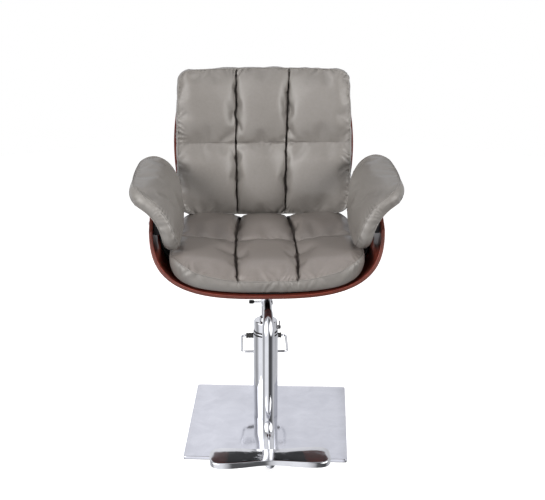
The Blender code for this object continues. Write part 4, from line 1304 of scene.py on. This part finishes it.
def build_under_frame():
    low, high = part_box("swivel_hub")
    bore = 0.0103
    spun("hub_casting", ((bore, low.z), (0.021, low.z), (0.0218, low.z + 0.012), (0.024, 0.435),
        (high.x, 0.442), (high.x, high.z), (bore, high.z)), "chrome", ("seat", "chrome", "swivel_hub"),
        sides=96, edge=0.0012)
    low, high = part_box("footrest_socket")
    outer = high.x
    middle = (low.z + high.z) / 2
    bore = 0.0133
    length = high.y - low.y
    spun("footrest_collar", ((bore, 0), (outer, 0), (outer, 0.008), (outer - 0.0012, 0.0095),
        (outer - 0.0012, length - 0.0095), (outer, length - 0.008), (outer, length), (bore, length)),
        "chrome", ("seat", "chrome", "footrest_socket"), at=(0, low.y, middle), along=(0, 1, 0),
        edge=0.0008)
    for name, node in (
        ("frame_plate", "seat_plate"),
        ("frame_rail_left", "seat_rail_left"),
        ("frame_rail_right", "seat_rail_right"),
        ("arm_mount_left", "arm_block_left"),
        ("arm_mount_right", "arm_block_right"),
    ):
        dressed(name, node, "paint", "seat", "black_paint", 0.0010)
    dressed("spine_bar", "back_spine", "paint", "seat", "black_paint", 0.0012)
    for k in range(1, 5):
        seat_bolt("seat_bolt_head_%d" % k, "seat_bolt_%d" % k, (0, 0, 1))
    for word, hand in (("left", 1), ("right", -1)):
        for k in (1, 2):
            seat_bolt("arm_bolt_head_%s_%d" % (word, k), "arm_bolt_%s_%d" % (word, k), (hand, 0, 0),
                dome=True)
    for k in (1, 2):
        seat_bolt("spine_bolt_head_%d" % k, "spine_bolt_%d" % k, (0, 0, 1))
    for k in (3, 4):
        dressed("spine_bolt_head_%d" % k, "spine_bolt_%d" % k, "steel", "seat", "steel", 0.0007)


def build_clamp():
    low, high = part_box("clamp_screw")
    middle = (low + high) / 2
    length = high.x - low.x
    radius = (high.z - low.z) / 2
    profile = [(0, 0.0), (radius - 0.0006, 0.0), (radius, 0.0008)]
    pitch = 0.0011
    turns = int((length - 0.012) / pitch)
    for k in range(turns):
        place = 0.0016 + k * pitch
        profile += [(radius - 0.0004, place + pitch * 0.5), (radius, place + pitch)]
    profile += [(radius, length), (0, length)]
    spun("clamp_thread", profile, "chrome", ("clamp", "chrome", "clamp_screw"),
        at=(high.x, middle.y, middle.z), along=(-1, 0, 0), sides=24, edge=0.0001)
    low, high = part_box("clamp_knob")
    length = high.x - low.x
    wide = (high.z - low.z) / 2
    spun("clamp_grip", ((0, 0.0), (wide * 0.72, 0.0), (wide, 0.0022), (wide, length - 0.0024),
        (wide * 0.8, length), (0.0033, length), (0.0033, 0.0037), (0, 0.0037)), "rubber",
        ("clamp", "black_plastic", "clamp_knob"), at=(low.x, middle.y, middle.z), along=(1, 0, 0),
        sides=72, edge=0.0008, flutes=(9, 0.0042, 0.0007))


# ---------------------------------------------------------------- footrest


def build_footrest():
    low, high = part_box("footrest_tube")
    axis_z = high.z - TUBE_UPPER_R
    drop = -0.271
    floor_z = TUBE_LOW_Z
    bend = 0.050
    corners = ((0, high.y, axis_z), (0, drop, axis_z), (0, drop, floor_z), (0, low.y, floor_z))
    bends = rounded_path(corners, bend, 20)
    path = resample(bends, 0.004, closed=False)

    def radius(point):
        if point.z > floor_z + bend:
            share = (axis_z - point.z + max(-0.205 - point.y, 0.0)) / 0.085
            return blend(TUBE_UPPER_R, TUBE_R, min(max(share, 0.0), 1.0))
        share = (drop - point.y) / 0.100
        return blend(TUBE_R, TUBE_END_R, min(max(share, 0.0), 1.0))

    radii = [radius(p) for p in path]
    for _ in range(4):
        radii = [
            (radii[max(k - 1, 0)] + radii[k] + radii[min(k + 1, len(radii) - 1)]) / 3
            for k in range(len(radii))
        ]
    bm = bmesh.new()
    side = Vector((1, 0, 0))
    outer = tube_rings(bm, path, radii, side, 64)
    inner = tube_rings(bm, path, [r - 0.002 for r in radii], side, 64)
    join_rings(bm, outer + inner[::-1], closed=True)
    belong(object_from("footrest_bar", bm, ["chrome"]), "footrest", "chrome", "footrest_tube")
    end = TUBE_END_R
    spun("footrest_plug", ((0, -0.012), (end - 0.0023, -0.012), (end - 0.0023, 0.0003), (end, 0.0003),
        (end, 0.0014), (end - 0.002, 0.0034), (0, 0.004)), "chrome",
        ("footrest", "chrome", "tube_cap"), at=(0, low.y, floor_z), along=(0, -1, 0), edge=0.0008)
    build_footplate(floor_z)
    dressed("footplate_bolt", "footplate_screw", "steel", "footrest", "steel", 0.0006)


def blunt_end(reach, lobe, hand, steps):
    """One end of the footplate's outline, a quarter turn either side of its tip."""
    points = []
    for k in range(1, steps):
        angle = math.pi * (k / steps - 0.5)
        out = reach + lobe * math.cos(angle) ** FOOT_BLUNT
        rise = math.copysign(lobe * abs(math.sin(angle)) ** FOOT_BLUNT, angle)
        points.append((hand * out, hand * rise))
    return points


def build_footplate(tube_z):
    """The cast plate: two thick lobes and a thin waist, with a rounded rim and a low crown."""
    low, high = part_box("footplate")
    lobe = (high.y - low.y) / 2
    waist = lobe - 0.010
    middle = (high.y + low.y) / 2
    reach = high.x - lobe
    steps, ends = 60, 36

    def waist_share(x):
        return (1 + math.cos(math.pi * min(max(x / reach, -1.0), 1.0))) / 2

    side = [(x, -blend(lobe, waist, waist_share(x))) for x in (reach * place for place in even(steps))]
    outline = side + blunt_end(reach, lobe, 1, ends)
    outline += [(-x, -y) for x, y in side] + blunt_end(reach, lobe, -1, ends)

    def foot(x):
        """Height of the rim's lower edge, which is raised at the waist."""
        return low.z + 0.0035 * waist_share(x) ** 1.5

    bm = bmesh.new()

    def loop(inset, height, tilt=0.0):
        ring = []
        count = len(outline)
        for k, (x, y) in enumerate(outline):
            x0, y0 = outline[k - 1]
            x1, y1 = outline[(k + 1) % count]
            run = math.hypot(x1 - x0, y1 - y0)
            px, py = x - inset * (y1 - y0) / run, y + inset * (x1 - x0) / run
            ring.append(bm.verts.new((px, middle + py, height(x) + tilt * py)))
        return ring

    rings = []
    crown, lower_edge, upper_edge, tilt = 0.0012, 0.0018, 0.0046, 0.055
    shoulder = high.z - crown
    for share in (0.5, 0.25):
        rings.append(loop(waist * share + 0.002, lambda x: foot(x) + 0.0003))
    for k in range(5):
        angle = math.pi / 2 * k / 4
        rise = lower_edge * (1 - math.cos(angle))
        rings.append(loop(lower_edge * (1 - math.sin(angle)), lambda x: foot(x) + rise))
    for k in range(9):
        angle = math.pi / 2 * k / 8
        sink = upper_edge * (1 - math.sin(angle))
        rings.append(loop(upper_edge * (1 - math.cos(angle)), lambda x: shoulder - sink, tilt))
    for share in (0.25, 0.45, 0.65, 0.82):
        rise = crown * (1 - (1 - share) ** 2)
        rings.append(loop(waist * share, lambda x: shoulder + rise, tilt))
    join_rings(bm, rings)
    for ring in (rings[0], rings[-1]):
        bottom_row = ring[: steps + 1]
        right = ring[steps + 1 : steps + ends]
        top_row = ring[steps + ends : steps + ends + steps + 1][::-1]
        left = ring[steps + ends + steps + 1 :]
        for k in range(steps):
            bm.faces.new((bottom_row[k], bottom_row[k + 1], top_row[k + 1], top_row[k]))
        bm.faces.new([bottom_row[-1], *right, top_row[-1]])
        bm.faces.new([top_row[0], *left, bottom_row[0]])
    plate = object_from("footplate_casting", bm, ["cast"])
    cutter = turned("saddle_cutter", ((0, 0), (TUBE_END_R + 0.0009, 0), (TUBE_END_R + 0.0009, 0.12),
        (0, 0.12)), "chrome", at=(0, TUBE_TIP - 0.005, tube_z), along=(0, 1, 0), sides=64, edge=0.0)
    carve(plate, cutter)
    belong(plate, "footrest", "chrome", "footplate")


# ---------------------------------------------------------------- carried nodes, stage


def dress_carried_nodes():
    """Materials for the CAD nodes that stay."""
    steel = ["plate_bolt_%d" % k for k in range(1, 5)]
    steel += ["pump_cylinder", "pump_plunger", "piston_head", "thrust_washer"]
    looks = {node: "steel" for node in steel}
    looks.update(base_mat="rubber", base_plate="paint", piston_seal="rubber")
    for node, material in looks.items():
        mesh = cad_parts[node].data
        if not mesh.materials:
            mesh.materials.append(None)
        for k in range(len(mesh.materials)):
            mesh.materials[k] = MATS[material]


def area_light(name, at, target, size, energy):
    light = bpy.data.lights.new(name, "AREA")
    light.shape = "DISK"
    light.size = size
    light.energy = energy
    obj = bpy.data.objects.new(name, light)
    obj.location = at
    obj.visible_glossy = False
    aim = Vector(target) - Vector(at)
    obj.rotation_euler = aim.to_track_quat("-Z", "Y").to_euler()
    SCENE.collection.objects.link(obj)


def build_world():
    """White to the camera, a dim ambient for the diffuse light, and bands for the chrome to mirror."""
    world = bpy.data.worlds.new("studio")
    SCENE.world = world
    world.use_nodes = True
    tree = world.node_tree
    tree.nodes.clear()
    direction = add(tree, "ShaderNodeTexCoord").outputs["Generated"]
    parts = add(tree, "ShaderNodeSeparateXYZ", {"Vector": direction})
    back = add(tree, "ShaderNodeMath", {0: parts.outputs["Y"], 1: -1.0}, operation="MULTIPLY").outputs[0]
    sides = {0: parts.outputs["X"], 1: back}
    angle = add(tree, "ShaderNodeMath", sides, operation="ARCTAN2").outputs[0]
    share = spread(tree, angle, 0.0, 1.0, (-math.pi, math.pi))
    stops = ((-180, 1.15), (-163, 0.98), (-150, 1.12), (-128, 0.80), (-92, 0.40), (-76, 0.78),
        (-66, 1.26), (-6, 1.26), (1, 0.85), (7, 0.14), (58, 0.09), (72, 0.36), (96, 0.60), (112, 0.80),
        (132, 0.66), (150, 0.92), (166, 0.80), (180, 1.10))
    bands = ramp(
        tree, share, [((degrees + 180) / 360, (0.95 * g, 0.96 * g, 1.0 * g)) for degrees, g in stops]
    )
    for side in (-1, 1):
        aim = Vector((side * 0.74, -0.55, 0.38)).normalized()
        near = add(tree, "ShaderNodeVectorMath", {0: direction, 1: aim}, operation="DOT_PRODUCT")
        glow = spread(tree, near.outputs["Value"], 0.0, 3.6, (0.80, 0.98))
        bands = shade(tree, bands, glow, how="ADD")
    seen = {}
    for who, colour, strength in (
        ("mirrored", bands, 0.80),
        ("ambient", (0.96, 0.97, 1.0, 1.0), 0.12),
        ("camera", (1.0, 1.0, 1.0, 1.0), 1.0),
    ):
        seen[who] = add(tree, "ShaderNodeBackground", {"Color": colour, "Strength": strength}).outputs[0]
    rays = add(tree, "ShaderNodeLightPath").outputs
    inputs = {"Fac": rays["Is Glossy Ray"], 1: seen["ambient"], 2: seen["mirrored"]}
    lit = add(tree, "ShaderNodeMixShader", inputs).outputs[0]
    inputs = {"Fac": rays["Is Camera Ray"], 1: lit, 2: seen["camera"]}
    add(tree, "ShaderNodeOutputWorld", {"Surface": add(tree, "ShaderNodeMixShader", inputs).outputs[0]})


def build_stage():
    material, tree, shader, coords = new_material("pale_floor", Roughness=0.9, Specular_IOR_Level=0.1,
        Emission_Color=(1.0, 1.0, 1.0, 1.0), Emission_Strength=0.80)
    tone = clouds(tree, coords, 3.0, 2.0)
    colour = ramp(tree, tone, ((0.3, (0.78, 0.78, 0.78)), (0.7, (0.80, 0.80, 0.80))))
    surface(tree, shader, colour)
    bm = bmesh.new()
    rings = []
    for radius in (0.5, 1.5, 3.2):
        angles = [2 * math.pi * k / 64 for k in range(64)]
        rings.append([bm.verts.new((radius * math.cos(a), radius * math.sin(a), 0)) for a in angles])
    bm.faces.new(rings[0])
    join_rings(bm, rings)
    mesh = bpy.data.meshes.new("floor")
    bm.to_mesh(mesh)
    bm.free()
    mesh.materials.append(material)
    floor = bpy.data.objects.new("floor", mesh)
    floor.location = (0, 0, -0.0005)
    SCENE.collection.objects.link(floor)
    floor.visible_glossy = False
    floor.visible_diffuse = False
    area_light("left_softbox", (-2.2, -2.1, 1.75), (0, 0, 0.7), 1.1, 95)
    area_light("right_softbox", (2.3, -2.0, 1.70), (0, 0, 0.7), 1.1, 80)
    area_light("top", (0.0, -0.5, 3.4), (0, 0, 0.5), 1.6, 18)


def build_camera():
    camera = bpy.data.cameras.new("camera")
    camera.sensor_width = 36.0
    camera.lens = 84.9
    camera.shift_x = 0.0125
    obj = bpy.data.objects.new("camera", camera)
    obj.location = (-0.098, -3.513, 1.829)
    obj.rotation_euler = (math.radians(69.9), 0.0, math.radians(-1.6))
    SCENE.collection.objects.link(obj)
    SCENE.camera = obj
    SCENE.view_settings.view_transform = "Standard"


build_camera()
build_world()
build_stage()
build_base()
build_pump()
build_pedal()
build_under_frame()
build_clamp()
build_footrest()
build_shells()
build_seat_cushion()
build_back_cushion()
for arm_word, arm_hand in (("left", -1), ("right", 1)):
    build_arm(arm_word, arm_hand)
dress_carried_nodes()
